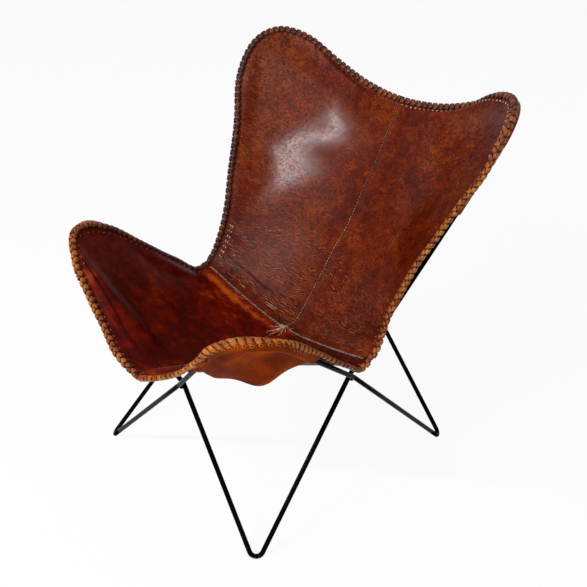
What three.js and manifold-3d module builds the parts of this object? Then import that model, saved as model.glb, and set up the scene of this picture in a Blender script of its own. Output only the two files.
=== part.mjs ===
import * as THREE from 'three';
import { mergeVertices } from 'three/addons/utils/BufferGeometryUtils.js';
import Module from 'manifold-3d';

// Butterfly sling chair: a leather sling with four ears, slipped over four bent steel rods.
// Millimetres, +Z up. The sitter faces -Y. In the names, right is +X, the right side seen from the front.
// The floor is z = 0. Sizes run from the middle of the frame, and the finished chair is moved so that
// its origin lies under the middle of the whole.

// Frame
const rodDiameter = 10.6;
const footBendRadius = 15;
const kinkRadius = 24;
const footFlatDepth = 0.5;
const rodGap = 0.6;
const buttHeight = 52;
const buttWeldLength = 2.4;
const weldGap = 0.3;
const buttWeldProud = 0.25;
const beadRadius = 5.2;
const beadDrop = 8;
const frontFootSpan = 549;
const frontFootReach = 303;
const backFootSpan = 534;
const backFootReach = 302;
const frontCrossingReach = 272;
const frontCrossingHeight = 290;
const backCrossingReach = 282;
const backCrossingHeight = 297;
const sideCrossingSpan = 454;
const sideCrossingSetback = 9;
const sideCrossingHeight = 300;
const frontHoopRadius = 75;
const frontHoopSpan = 575;
const frontHoopReach = 321;
const frontHoopHeight = 555;
const backHoopRadius = 85;
const backHoopSpan = 674;
const backHoopReach = 314;
const backHoopHeight = 855;

// Sling
const leatherThickness = 2.6;
const leatherGap = 0.3;
const drapeClearance = 1.8;
const drapeBlend = 4;
const drapeSpread = 40;
const drapeReach = 70;
const lapWidth = 18;
const lapRamp = 16;
const laceWidth = 16;
const laceThickness = 9;
const laceGap = 1.3;
const pocketGap = 1.5;
const frontPocketClearance = 1.1;
const backPocketClearance = 3.2;
const frontPocketSlack = 20;
const frontPocketBelly = 28;
const backPocketSlack = 12;
const backPocketBelly = 6;
const pocketTab = 16;

// Rim of the sling from the middle of the top edge, round the back ear, down the side to the notch,
// round the front ear and on to the middle of the front edge. Each point follows the frame: across,
// depth and height as shares of a hoop's own place, of the way from the side crossing to a hoop's
// tip, or of the hoop's radius, counted from its tip.
const rimShares = [
  ['backPlace', 0, 1.166, 0.908], ['backPlace', 0.312, 1.178, 0.919], ['backPlace', 0.602, 1.166, 0.956],
  ['backEar', -0.67, 0.31, 0.08], ['backEar', 0.08, -0.13, 0.21], ['backEar', 0.46, -0.78, -0.16],
  ['backSide', 1.373, 0.626, 0.831], ['backSide', 1.064, 0.502, 0.667], ['backSide', 0.709, 0.325, 0.494],
  ['backSide', 0.509, 0.203, 0.306], ['backSide', 0.491, 0.089, 0.164], ['backSide', 0.509, -0.082, 0.105],
  ['frontSide', 1.157, 0.239, 0.388], ['frontSide', 1.24, 0.476, 0.631], ['frontSide', 1.339, 0.694, 0.886],
  ['frontEar', 0.18, 0.43, 0.08], ['frontEar', -0.19, -0.28, 0.17], ['frontEar', -0.7, -0.65, -0.29],
  ['frontPlace', 0.64, 1.174, 0.863], ['frontPlace', 0.421, 1.187, 0.773],
  ['frontPlace', 0.188, 1.221, 0.703], ['frontPlace', 0, 1.19, 0.652],
];
// Ribs run from the centre seam to the rim: depth as a share of the hoop's, height as a share of
// the way from the side crossings to the hoop's tip, the rim station met, and the power of the sag.
const backRibShares = [
  [0.073, 0.005, 10.5, 1.5], [0.185, 0.027, 10.05, 1.6], [0.35, 0.137, 9.3, 1.8], [0.535, 0.279, 8.5, 1.9],
  [0.691, 0.384, 7.8, 1.9], [0.831, 0.519, 7.0, 1.9], [0.933, 0.609, 6.3, 1.8], [1.019, 0.703, 5.5, 1.7],
  [1.076, 0.766, 4.6, 1.7], [1.115, 0.814, 3.4, 1.8], [1.137, 0.843, 1.9, 2.0], [1.146, 0.86, 0, 2.0],
];
const seatRibShares = [
  [-0.072, 0.011, 10.5, 1.5], [0.156, 0.014, 11.6, 1.5], [0.436, 0.039, 12.6, 1.5], [0.654, 0.078, 13.7, 1.5],
  [0.816, 0.122, 14.8, 1.5], [0.935, 0.169, 15.8, 1.45], [1.028, 0.208, 16.8, 1.4], [1.097, 0.231, 18.0, 1.4],
  [1.153, 0.243, 19.6, 1.5], [1.19, 0.243, 21, 1.6],
];
const backPocketRibs = [5.0, 9.9];
const backPocketDepthShare = 0.5;
const frontPocketRibs = [2.45, 7.1];
const frontPocketDepthShare = 0.42;
const bellyMiddleShare = 0.2;
const bellySpreadShare = 0.11;

const rodSides = 12;
const hoopSteps = 14;
const footSteps = 6;
const kinkSteps = 3;
const laceSides = 8;
const mergeDistance = 0.002;
const cutTolerance = 0.15;
const backRows = 24;
const seatRows = 20;

const rodColour = 0x0b0b0c;
const weldColour = 0x151413;
const faceColour = 0x6e2d14;
const pocketColour = 0x96460f;
const laceColour = 0xa8642c;

const rodRadius = rodDiameter / 2;
const layer = leatherThickness + leatherGap;
const up = new THREE.Vector3(0, 0, 1);

const wasm = await Module();
wasm.setup();

function vec(x, y, z) {
  return new THREE.Vector3(x, y, z);
}

function lerpVec(a, b, t) {
  return a.clone().lerp(b, t);
}

function smooth(edge0, edge1, x) {
  const t = THREE.MathUtils.clamp((x - edge0) / (edge1 - edge0), 0, 1);
  return t * t * (3 - 2 * t);
}

// Catmull-Rom value of a table of rows at a real index, with its ends continued by mirroring.
function tableAt(rows, s, mirror) {
  const last = rows.length - 1;
  const t = THREE.MathUtils.clamp(s, 0, last);
  const i = Math.min(Math.floor(t), last - 1);
  const f = t - i;
  const row = (j) => {
    if (j >= 0 && j <= last) return rows[j];
    const inner = j < 0 ? rows[-j] : rows[2 * last - j];
    const end = j < 0 ? rows[0] : rows[last];
    return inner.map((value, c) => (mirror ? (c === 0 ? -value : value) : 2 * end[c] - value));
  };
  const [a, b, c, d] = [row(i - 1), row(i), row(i + 1), row(i + 2)];
  return b.map((value, n) => {
    const m0 = (c[n] - a[n]) / 2;
    const m1 = (d[n] - b[n]) / 2;
    const f2 = f * f;
    const f3 = f2 * f;
    return value * (2 * f3 - 3 * f2 + 1) + m0 * (f3 - 2 * f2 + f) + c[n] * (3 * f2 - 2 * f3) + m1 * (f3 - f2);
  });
}

// Path through corner points, each rounded to its own bend radius.
function bentPath(corners, radii, steps) {
  const points = [corners[0].clone()];
  for (let i = 1; i < corners.length - 1; i += 1) {
    const before = corners[i - 1].clone().sub(corners[i]).normalize();
    const after = corners[i + 1].clone().sub(corners[i]).normalize();
    const angle = before.angleTo(after);
    const reach = radii[i - 1] / Math.tan(angle / 2);
    const middle = before.clone().add(after).normalize();
    const centre = corners[i].clone().addScaledVector(middle, radii[i - 1] / Math.sin(angle / 2));
    const from = corners[i].clone().addScaledVector(before, reach).sub(centre);
    const to = corners[i].clone().addScaledVector(after, reach).sub(centre);
    const turn = from.angleTo(to);
    for (let k = 0; k <= steps[i - 1]; k += 1) {
      const f = k / steps[i - 1];
      const a = Math.sin((1 - f) * turn) / Math.sin(turn);
      const b = Math.sin(f * turn) / Math.sin(turn);
      points.push(centre.clone().addScaledVector(from, a).addScaledVector(to, b));
    }
  }
  points.push(corners[corners.length - 1].clone());
  return points;
}

function geometryFrom(positions, indices) {
  const geometry = new THREE.BufferGeometry();
  geometry.setAttribute('position', new THREE.Float32BufferAttribute(positions, 3));
  geometry.setIndex(indices);
  const merged = mergeVertices(geometry, mergeDistance);
  const kept = [];
  const index = merged.getIndex();
  for (let i = 0; i < index.count; i += 3) {
    const [a, b, c] = [index.getX(i), index.getX(i + 1), index.getX(i + 2)];
    if (a !== b && b !== c && c !== a) kept.push(a, b, c);
  }
  merged.setIndex(kept);
  merged.computeVertexNormals();
  return merged;
}

// Closed sweep of rings of points, capped at both ends.
function sweep(rings) {
  const sides = rings[0].length;
  const positions = [];
  const indices = [];
  rings.forEach((ring) => ring.forEach((p) => positions.push(p.x, p.y, p.z)));
  for (let i = 0; i < rings.length - 1; i += 1) {
    for (let k = 0; k < sides; k += 1) {
      const a = i * sides + k;
      const b = i * sides + (k + 1) % sides;
      indices.push(a, b, b + sides, a, b + sides, a + sides);
    }
  }
  const end = (rings.length - 1) * sides;
  for (let k = 1; k < sides - 1; k += 1) {
    indices.push(0, k + 1, k);
    indices.push(end, end + k, end + k + 1);
  }
  return geometryFrom(positions, indices);
}

function tube(path, radius, sides) {
  const tangents = path.map((p, i) => {
    const a = path[Math.max(i - 1, 0)];
    const b = path[Math.min(i + 1, path.length - 1)];
    const before = p.clone().sub(a).normalize();
    const after = b.clone().sub(p).normalize();
    return before.add(after).normalize();
  });
  let side = up.clone().cross(tangents[0]).normalize();
  const rings = path.map((p, i) => {
    side.addScaledVector(tangents[i], -side.dot(tangents[i])).normalize();
    const other = tangents[i].clone().cross(side);
    const ring = [];
    for (let k = 0; k < sides; k += 1) {
      const angle = (2 * Math.PI * (k + 0.5)) / sides;
      ring.push(p.clone().addScaledVector(side, Math.cos(angle) * radius)
        .addScaledVector(other, Math.sin(angle) * radius));
    }
    return ring;
  });
  return sweep(rings);
}

function solid(geometry) {
  const bare = geometry.clone();
  bare.deleteAttribute('normal');
  if (bare.getAttribute('uv')) bare.deleteAttribute('uv');
  const joined = mergeVertices(bare, mergeDistance);
  return new wasm.Manifold(new wasm.Mesh({
    numProp: 3,
    vertProperties: new Float32Array(joined.getAttribute('position').array),
    triVerts: new Uint32Array(joined.getIndex().array),
  }));
}

function fromSolid(body) {
  const mesh = body.getMesh();
  const positions = [];
  for (let i = 0; i < mesh.numVert; i += 1) {
    for (let c = 0; c < 3; c += 1) positions.push(mesh.vertProperties[i * mesh.numProp + c]);
  }
  return geometryFrom(positions, Array.from(mesh.triVerts));
}

// Frame corners. The lowest point of a foot bend lies under the floor by the depth of its flat.
const crossing = {
  front: vec(0, -frontCrossingReach, frontCrossingHeight),
  back: vec(0, backCrossingReach, backCrossingHeight),
  right: vec(sideCrossingSpan / 2, sideCrossingSetback, sideCrossingHeight),
  left: vec(-sideCrossingSpan / 2, sideCrossingSetback, sideCrossingHeight),
};
const backTip = vec(backHoopSpan / 2, backHoopReach, backHoopHeight);
const frontTip = vec(frontHoopSpan / 2, -frontHoopReach, frontHoopHeight);
const outward = { front: vec(0, -1, 0), back: vec(0, 1, 0), right: vec(1, 0, 0), left: vec(-1, 0, 0) };

function lapped(name, outer) {
  const shift = (rodDiameter + rodGap) / 2;
  return crossing[name].clone().addScaledVector(outward[name], outer ? shift : -shift);
}

function footCorner(x, y, first, second) {
  const corner = vec(x, y, 0);
  for (let pass = 0; pass < 12; pass += 1) {
    const bend = bentPath([first, corner, second], [footBendRadius], [24]);
    const low = Math.min(...bend.map((p) => p.z));
    corner.z -= low - rodRadius + footFlatDepth;
  }
  return corner;
}

// Corner that a hoop would have if it were sharp, so that its rounded tip reaches the given point.
function hoopCorner(tip, first, second, hoopRadius) {
  const base = lerpVec(first, second, 0.5);
  const along = tip.clone().sub(base);
  let low = 1;
  let high = 3;
  for (let pass = 0; pass < 40; pass += 1) {
    const k = (low + high) / 2;
    const corner = base.clone().addScaledVector(along, k);
    const angle = first.clone().sub(corner).angleTo(second.clone().sub(corner));
    const inset = hoopRadius * (1 / Math.sin(angle / 2) - 1);
    if (corner.distanceTo(tip) < inset) low = k;
    else high = k;
  }
  return base.addScaledVector(along, low);
}

const footPlace = {
  frontRight: [frontFootSpan / 2, -frontFootReach, 'front', 'right'],
  frontLeft: [-frontFootSpan / 2, -frontFootReach, 'front', 'left'],
  backRight: [backFootSpan / 2, backFootReach, 'right', 'back'],
  backLeft: [-backFootSpan / 2, backFootReach, 'left', 'back'],
};

// Two closed loops of rod: one through the feet at front right and back left, which lies on the
// inside at each crossing, and one through the other two feet, which lies on the outside.
const loopOuter = { frontRight: false, backLeft: false, frontLeft: true, backRight: true };
const footAt = {};
for (const [name, [x, y, a, b]] of Object.entries(footPlace)) {
  footAt[name] = footCorner(x, y, lapped(a, loopOuter[name]), lapped(b, loopOuter[name]));
}

// Point of the leg that rises from a foot to a crossing, where its butt joint lies.
function legPoint(foot, cross, distance) {
  const top = lapped(cross, loopOuter[foot]);
  const along = top.clone().sub(footAt[foot]).normalize();
  return footAt[foot].clone().addScaledVector(along, distance);
}

const buttHalf = buttWeldLength / 2 + weldGap;

function backRod(side) {
  const outer = side === 'left';
  const near = side === 'right' ? 'frontRight' : 'frontLeft';
  const far = side === 'right' ? 'backLeft' : 'backRight';
  const sideSign = side === 'right' ? 1 : -1;
  const first = lapped(side, outer);
  const second = lapped('back', outer);
  const tip = vec(sideSign * backTip.x, backTip.y, backTip.z);
  const farSide = side === 'right' ? 'left' : 'right';
  return bentPath(
    [legPoint(near, 'front', buttHeight - buttHalf), footAt[near], first,
      hoopCorner(tip, first, second, backHoopRadius), second, footAt[far],
      legPoint(far, farSide, buttHeight - buttHalf)],
    [footBendRadius, kinkRadius, backHoopRadius, kinkRadius, footBendRadius],
    [footSteps, kinkSteps, hoopSteps, kinkSteps, footSteps],
  );
}

function frontRod(side) {
  const outer = side === 'right';
  const near = side === 'right' ? 'frontLeft' : 'frontRight';
  const far = side === 'right' ? 'backRight' : 'backLeft';
  const sideSign = side === 'right' ? 1 : -1;
  const first = lapped('front', outer);
  const second = lapped(side, outer);
  const tip = vec(sideSign * frontTip.x, frontTip.y, frontTip.z);
  return bentPath(
    [legPoint(near, 'front', buttHeight + buttHalf), first,
      hoopCorner(tip, first, second, frontHoopRadius), second, legPoint(far, side, buttHeight + buttHalf)],
    [kinkRadius, frontHoopRadius, kinkRadius],
    [kinkSteps, hoopSteps, kinkSteps],
  );
}

const rodPath = {
  rod_back_right: backRod('right'),
  rod_back_left: backRod('left'),
  rod_front_right: frontRod('right'),
  rod_front_left: frontRod('left'),
};

// Upper lengths of the rods, which the sling is draped over.
const lowestCrossing = Math.min(frontCrossingHeight, backCrossingHeight, sideCrossingHeight);
const rodRuns = Object.values(rodPath).flatMap((path) => path.slice(1)
  .map((end, i) => ({ start: path[i], run: end.clone().sub(path[i]) }))
  .filter(({ start, run }) => Math.max(start.z, start.z + run.z) > lowestCrossing));

// Sling surface
const rimBases = {
  backPlace: [vec(0, 0, 0), backTip],
  frontPlace: [vec(0, 0, 0), frontTip],
  backSide: [crossing.right, backTip.clone().sub(crossing.right)],
  frontSide: [crossing.right, frontTip.clone().sub(crossing.right)],
  backEar: [backTip, vec(backHoopRadius, backHoopRadius, backHoopRadius)],
  frontEar: [frontTip, vec(frontHoopRadius, frontHoopRadius, frontHoopRadius)],
};
const rimRows = rimShares.map(([base, x, y, z]) => {
  const [from, size] = rimBases[base];
  return [from.x + x * size.x, from.y + y * size.y, from.z + z * size.z];
});

function rimPoint(station) {
  return vec(...tableAt(rimRows, station, true));
}

function ribAt(rib) {
  const rows = rib >= 0 ? backRibShares : seatRibShares;
  const tip = rib >= 0 ? backTip : frontTip;
  const [y, z, station, sag] = tableAt(rows, Math.abs(rib), false);
  return { seam: vec(0, y * tip.y, THREE.MathUtils.lerp(crossing.right.z, tip.z, z)), station, sag };
}

const backRibs = backRibShares.length - 1;
const seatRibs = seatRibShares.length - 1;
const stationOfRib = (rib) => ribAt(rib).station;

// Rim frame: tangent along the rim, the direction inward along the leather, and the face normal.
function rimFrame(rib) {
  const aimRib = THREE.MathUtils.clamp(rib, -(seatRibs - 3), backRibs - 3);
  const { seam, sag } = ribAt(aimRib);
  const station = stationOfRib(rib);
  const point = rimPoint(station);
  const dt = 0.02;
  const tangent = station < dt || station > rimRows.length - 1 - dt
    ? vec(1, 0, 0)
    : rimPoint(station + dt).sub(rimPoint(station - dt)).normalize();
  if (station > rimRows.length - 1 - dt) tangent.negate();
  const inward = vec(-point.x, sag * (seam.y - point.y), sag * (seam.z - point.z));
  inward.addScaledVector(tangent, -inward.dot(tangent)).normalize();
  const normal = inward.clone().cross(tangent).normalize();
  return { point, tangent, inward, normal };
}

function edgePoint(rib) {
  const { point, inward } = rimFrame(rib);
  return point.addScaledVector(inward, laceWidth + laceGap);
}

const topEdge = edgePoint(backRibs);
const frontEdge = edgePoint(-seatRibs);

function seamPoint(rib) {
  const { seam } = ribAt(rib);
  const last = rib >= 0 ? backRibs : seatRibs;
  const edge = rib >= 0 ? topEdge : frontEdge;
  const table = ribAt(Math.sign(rib) * last).seam;
  const near = Math.pow(Math.abs(rib) / last, 3);
  return seam.add(edge.clone().sub(table).multiplyScalar(near));
}

function basePoint(u, rib) {
  const seam = seamPoint(rib);
  const edge = edgePoint(rib);
  const sag = Math.pow(Math.abs(u), ribAt(rib).sag);
  return vec(edge.x * u, seam.y + (edge.y - seam.y) * sag, seam.z + (edge.z - seam.z) * sag);
}

function baseNormal(u, rib) {
  const limit = rib >= 0 ? backRibs - 0.06 : seatRibs - 0.06;
  const r = Math.sign(rib) * Math.min(Math.abs(rib), limit);
  const w = THREE.MathUtils.clamp(u, -0.995, 0.995);
  const across = basePoint(w + 0.004, r).sub(basePoint(w - 0.004, r));
  const along = basePoint(w, r + 0.02).sub(basePoint(w, r - 0.02));
  return across.cross(along).normalize();
}

// Rods near a point of the leather: how far each lies beside its normal, and how high along it.
function rodsNear(point, normal, reach) {
  const found = [];
  for (const { start, run } of rodRuns) {
    const from = start.clone().sub(point);
    const flatFrom = from.clone().addScaledVector(normal, -from.dot(normal));
    const flatRun = run.clone().addScaledVector(normal, -run.dot(normal));
    const t = THREE.MathUtils.clamp(-flatFrom.dot(flatRun) / flatRun.lengthSq(), 0, 1);
    const aside = flatFrom.addScaledVector(flatRun, t).length();
    const high = from.dot(normal) + t * run.dot(normal);
    if (aside < reach && Math.abs(high) < reach) found.push({ aside, high });
  }
  return found;
}

// Height at which a panel clears the rods under it, and that at which a pocket passes below them.
function drapeOver(point, normal) {
  const clear = rodRadius + leatherThickness / 2 + drapeClearance;
  const lift = ({ aside, high }) => high + clear - (aside * aside) / (2 * drapeSpread);
  const most = rodsNear(point, normal, drapeReach)
    .reduce((best, near) => Math.max(best, lift(near)), -drapeReach);
  return (most + Math.sqrt(most * most + drapeBlend * drapeBlend)) / 2;
}

function drapeUnder(point, normal, clearance) {
  const clear = rodRadius + leatherThickness / 2 + clearance;
  const drop = ({ aside, high }) => high - clear + (aside * aside) / (2 * clear);
  return rodsNear(point, normal, clear * 3).reduce((best, near) => Math.min(best, drop(near)), 0);
}

function leatherPoint(u, rib, height, collapsed) {
  const normal = collapsed ? baseNormal(0.5 * Math.sign(u || 1), rib) : baseNormal(u, rib);
  const point = basePoint(u, rib);
  return { point: point.addScaledVector(normal, drapeOver(point, normal) + height), normal };
}

// Shell of the leather's thickness over a grid of middle points and normals.
function shell(grid) {
  const rows = grid.length;
  const columns = grid[0].length;
  const positions = [];
  const indices = [];
  for (const face of [1, -1]) {
    for (const row of grid) {
      for (const { point, normal } of row) {
        const p = point.clone().addScaledVector(normal, (face * leatherThickness) / 2);
        positions.push(p.x, p.y, p.z);
      }
    }
  }
  const count = rows * columns;
  const at = (i, k) => i * columns + k;
  const quad = (a, b, c, d) => indices.push(a, b, c, a, c, d);
  for (let i = 0; i < rows - 1; i += 1) {
    for (let k = 0; k < columns - 1; k += 1) {
      quad(at(i, k), at(i, k + 1), at(i + 1, k + 1), at(i + 1, k));
      quad(count + at(i, k), count + at(i + 1, k), count + at(i + 1, k + 1), count + at(i, k + 1));
    }
  }
  for (let i = 0; i < rows - 1; i += 1) {
    quad(at(i, 0), at(i + 1, 0), count + at(i + 1, 0), count + at(i, 0));
    const e = columns - 1;
    quad(at(i + 1, e), at(i, e), count + at(i, e), count + at(i + 1, e));
  }
  for (let k = 0; k < columns - 1; k += 1) {
    quad(at(0, k + 1), at(0, k), count + at(0, k), count + at(0, k + 1));
    const e = rows - 1;
    quad(at(e, k), at(e, k + 1), count + at(e, k + 1), count + at(e, k));
  }
  return geometryFrom(positions, indices);
}

// The right panels lap over the left ones along the centre seam, and the seat panels lap over the
// back panels along the cross seam.
const ribLap = lapWidth / seamPoint(-1).distanceTo(seamPoint(0));
const ribRamp = ribLap * (1 + lapRamp / lapWidth);

// Ribs of the rows that panels and lacing share, spread evenly between the seam's and the rim's pace.
function rowRibs(direction) {
  const last = direction > 0 ? backRibs : seatRibs;
  const count = direction > 0 ? backRows : seatRows;
  const first = stationOfRib(0);
  const whole = stationOfRib(direction * last) - first;
  const pace = (rib) => (rib / last + (stationOfRib(direction * rib) - first) / whole) / 2;
  return Array.from({ length: count + 1 }, (_, i) => {
    let low = 0;
    let high = last;
    for (let pass = 0; pass < 40; pass += 1) {
      const middle = (low + high) / 2;
      if (pace(middle) < i / count) low = middle;
      else high = middle;
    }
    return (direction * (low + high)) / 2;
  });
}

function panel(isBack, isRight) {
  const direction = isBack ? 1 : -1;
  const last = isBack ? backRibs : seatRibs;
  const rows = rowRibs(direction);
  const ribs = isBack
    ? [-ribLap, ...rows]
    : [0, -ribLap * 1.15, -ribRamp, ...rows.filter((rib) => -rib > ribRamp * 1.2)];
  const shares = [0, 0.17, 0.34, 0.5, 0.64, 0.76, 0.85, 0.92, 0.965, 1];
  const grid = ribs.map((rib) => {
    const edge = edgePoint(rib);
    const collapsed = Math.abs(rib) > last - 0.001;
    const width = Math.max(edge.x, laceGap);
    const lap = lapWidth * 1.1 < width ? lapWidth / width : 1;
    const ramp = (lapWidth + lapRamp) * 1.1 < width ? (lapWidth + lapRamp) / width : 1;
    const us = isRight
      ? [0, lap, ramp, ...shares.slice(1).map((s) => ramp + (1 - ramp) * s)]
      : [...shares.slice(1).reverse().map((s) => -s), 0, lap];
    const row = us.map((u) => {
      const across = Math.abs(u) * edge.x * Math.sign(u);
      const overCentre = isRight
        ? 1 - smooth(lapWidth * 1.05, lapWidth + lapRamp, across)
        : smooth(-lapRamp, -leatherGap, across);
      const overCross = isBack ? 0 : 1 - smooth(ribLap * 1.15, ribRamp, -rib);
      let layers = 0;
      if (isRight) layers = overCentre + overCross + overCentre * overCross;
      else if (!isBack) layers = overCross * (1 + overCentre);
      if (collapsed) layers = isRight ? 1 : 0;
      return leatherPoint(collapsed ? 0 : u, rib, layers * layer, collapsed);
    });
    return row;
  });
  if (!isBack) grid.forEach((row) => row.reverse());
  return shell(grid);
}

// Pocket on the underside of an ear: it starts under the edge of the panel, passes under the hoop
// and hangs a little at its mouth.
function pocket(isBack, isRight) {
  const [from, to] = isBack ? backPocketRibs : frontPocketRibs;
  const depthShare = isBack ? backPocketDepthShare : frontPocketDepthShare;
  const direction = isBack ? 1 : -1;
  const side = isRight ? 1 : -1;
  const slack = isBack ? backPocketSlack : frontPocketSlack;
  const belly = isBack ? backPocketBelly : frontPocketBelly;
  const clearance = isBack ? backPocketClearance : frontPocketClearance;
  const steps = 18;
  const grid = [];
  for (let i = 0; i <= steps; i += 1) {
    const a = i / steps;
    const rib = direction * (from + (to - from) * a);
    const spoke = edgePoint(rib).distanceTo(seamPoint(rib));
    const tab = pocketTab / spoke;
    const bow = 1 - Math.pow(2 * a - 1, 2);
    const bulge = Math.exp(-Math.pow((a - bellyMiddleShare) / bellySpreadShare, 2));
    const depth = tab + (depthShare - tab) * bow;
    const row = [];
    for (const b of [0, 0.04, 0.09, 0.15, 0.22, 0.32, 0.46, 0.64, 0.83, 1]) {
      const u = side * (1 - depth * b);
      const normal = baseNormal(u, rib);
      const point = basePoint(u, rib);
      const hang = (slack * Math.sqrt(bow) + belly * bulge) * smooth(0, 1, b);
      const underPanel = drapeOver(point, normal) - leatherThickness - pocketGap - hang;
      const height = Math.min(underPanel, drapeUnder(point, normal, clearance));
      row.push({ point: point.addScaledVector(normal, height), normal });
    }
    grid.push(row);
  }
  if ((isRight && isBack) || (!isRight && !isBack)) grid.forEach((row) => row.reverse());
  return shell(grid);
}

// Laced edge: a rounded roll along the rim between two ribs, with the gap of a joint at each end.
function lacing(direction, side) {
  const rings = [];
  for (const rib of rowRibs(direction)) {
    const { point, inward, normal } = rimFrame(rib);
    const centre = point.addScaledVector(inward, laceWidth / 2);
    const lift = drapeOver(centre, normal);
    const ring = [];
    for (let k = 0; k < laceSides; k += 1) {
      const angle = (2 * Math.PI * (k + 0.5)) / laceSides;
      const p = centre.clone().addScaledVector(inward, (Math.cos(angle) * laceWidth) / 2)
        .addScaledVector(normal, (Math.sin(angle) * laceThickness) / 2 + lift);
      ring.push(vec(side * p.x, p.y, p.z));
    }
    rings.push(ring);
  }
  const count = rings.length - 1;
  for (const [end, next] of [[0, 1], [count, count - 1]]) {
    const step = rings[next][0].distanceTo(rings[end][0]);
    rings[end].forEach((p, k) => p.lerp(rings[next][k], laceGap / 2 / step));
  }
  if (side * direction < 0) rings.forEach((ring) => ring.reverse());
  return sweep(rings);
}

// Leather bears on the rods, so it is cut to a small gap from them.
const rodCutters = Object.values(rodPath).map((path) => solid(tube(path, rodRadius + leatherGap, rodSides)));

function fitted(geometry) {
  let body = solid(geometry);
  for (const cutter of rodCutters) body = body.subtract(cutter);
  return fromSolid(body.asOriginal().simplify(cutTolerance));
}

const chair = new THREE.Group();
const materials = {
  rod: new THREE.MeshStandardMaterial({ color: rodColour, roughness: 0.35, metalness: 0.4 }),
  weld: new THREE.MeshStandardMaterial({ color: weldColour, roughness: 0.5, metalness: 0.4 }),
  face: new THREE.MeshStandardMaterial({ color: faceColour, roughness: 0.35, metalness: 0 }),
  pocket: new THREE.MeshStandardMaterial({ color: pocketColour, roughness: 0.6, metalness: 0 }),
  lace: new THREE.MeshStandardMaterial({ color: laceColour, roughness: 0.55, metalness: 0 }),
};

function add(name, geometry, material) {
  const mesh = new THREE.Mesh(geometry, material);
  mesh.name = name;
  chair.add(mesh);
}

// Everything under the floor is ground off the foot bends, which leaves a small flat under each.
const floor = new THREE.BoxGeometry(2 * frontFootSpan, 4 * frontFootReach, rodDiameter);
floor.translate(0, 0, -rodDiameter / 2);
const floorSolid = solid(floor);
for (const [name, path] of Object.entries(rodPath)) {
  add(name, fromSolid(solid(tube(path, rodRadius, rodSides)).subtract(floorSolid)), materials.rod);
}

// Butt welds, dressed almost flush, join the two rods of each loop just above the feet.
const buttLegs = { frontRight: 'front', frontLeft: 'front', backRight: 'right', backLeft: 'left' };
for (const [foot, cross] of Object.entries(buttLegs)) {
  const path = [-1, 0, 1].map((end) => legPoint(foot, cross, buttHeight + (end * buttWeldLength) / 2));
  const name = foot.startsWith('front') ? 'front' : 'back';
  const side = foot.endsWith('Right') ? 'right' : 'left';
  add(`butt_weld_${name}_${side}`, tube(path, rodRadius + buttWeldProud, rodSides), materials.weld);
}

// Weld beads lie in the lower crotch of each crossing, between the two rods.
for (const name of Object.keys(crossing)) {
  const feet = Object.keys(footPlace).filter((foot) => footPlace[foot].includes(name));
  const legs = feet.map((foot) => footAt[foot].clone().sub(lapped(name, loopOuter[foot])).normalize());
  const down = legs[0].clone().add(legs[1]).normalize();
  const bead = new THREE.SphereGeometry(beadRadius, 10, 7);
  const place = crossing[name].clone().addScaledVector(down, beadDrop);
  bead.translate(place.x, place.y, place.z);
  let body = solid(bead);
  for (const path of Object.values(rodPath)) {
    body = body.subtract(solid(tube(path, rodRadius + weldGap, rodSides)));
  }
  add(`crossing_weld_${name}`, fromSolid(body.asOriginal().simplify(cutTolerance)), materials.weld);
}

for (const isRight of [true, false]) {
  const side = isRight ? 'right' : 'left';
  add(`panel_back_${side}`, fitted(panel(true, isRight)), materials.face);
  add(`panel_seat_${side}`, fitted(panel(false, isRight)), materials.face);
  add(`pocket_back_${side}`, fitted(pocket(true, isRight)), materials.pocket);
  add(`pocket_front_${side}`, fitted(pocket(false, isRight)), materials.pocket);
  add(`lacing_back_${side}`, lacing(1, isRight ? 1 : -1), materials.lace);
  add(`lacing_front_${side}`, lacing(-1, isRight ? 1 : -1), materials.lace);
}

// The origin is moved under the middle of the whole chair.
const box = new THREE.Box3().setFromObject(chair, true);
chair.position.y = -(box.min.y + box.max.y) / 2;

export default chair;
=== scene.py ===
import math

import bmesh
import bpy
import numpy as np
from mathutils import Matrix, Vector


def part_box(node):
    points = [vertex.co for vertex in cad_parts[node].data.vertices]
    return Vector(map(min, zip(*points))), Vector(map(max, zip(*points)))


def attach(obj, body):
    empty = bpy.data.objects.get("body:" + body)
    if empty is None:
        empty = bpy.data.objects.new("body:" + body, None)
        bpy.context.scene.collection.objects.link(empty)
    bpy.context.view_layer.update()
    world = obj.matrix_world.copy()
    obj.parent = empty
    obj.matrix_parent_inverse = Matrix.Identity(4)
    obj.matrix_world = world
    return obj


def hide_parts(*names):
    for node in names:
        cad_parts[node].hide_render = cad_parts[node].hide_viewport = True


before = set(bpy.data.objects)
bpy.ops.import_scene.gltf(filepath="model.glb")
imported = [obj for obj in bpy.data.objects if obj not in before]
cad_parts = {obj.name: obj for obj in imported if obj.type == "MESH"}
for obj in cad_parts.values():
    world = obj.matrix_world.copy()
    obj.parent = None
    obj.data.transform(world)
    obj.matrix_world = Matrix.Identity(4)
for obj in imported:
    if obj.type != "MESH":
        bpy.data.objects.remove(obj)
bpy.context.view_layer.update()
print("frame loaded:", len(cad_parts), "nodes")

mm = 0.001
mirrorX = np.array([-1.0, 1.0, 1.0])


# Shared helpers

def linear(hexColour):
    parts = [int(hexColour[i:i + 2], 16) / 255 for i in (1, 3, 5)]
    return [c / 12.92 if c <= 0.04045 else ((c + 0.055) / 1.055) ** 2.4 for c in parts] + [1.0]


def setInputs(tree, node, inputs):  # values or what to link, by name or as a tuple in the node's own order
    for key, value in enumerate(inputs) if isinstance(inputs, tuple) else inputs.items():
        if isinstance(value, bpy.types.Node):
            value = value.outputs[0]
        if isinstance(value, bpy.types.NodeSocket):
            tree.links.new(value, node.inputs[key])
        else:
            node.inputs[key].default_value = value


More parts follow.
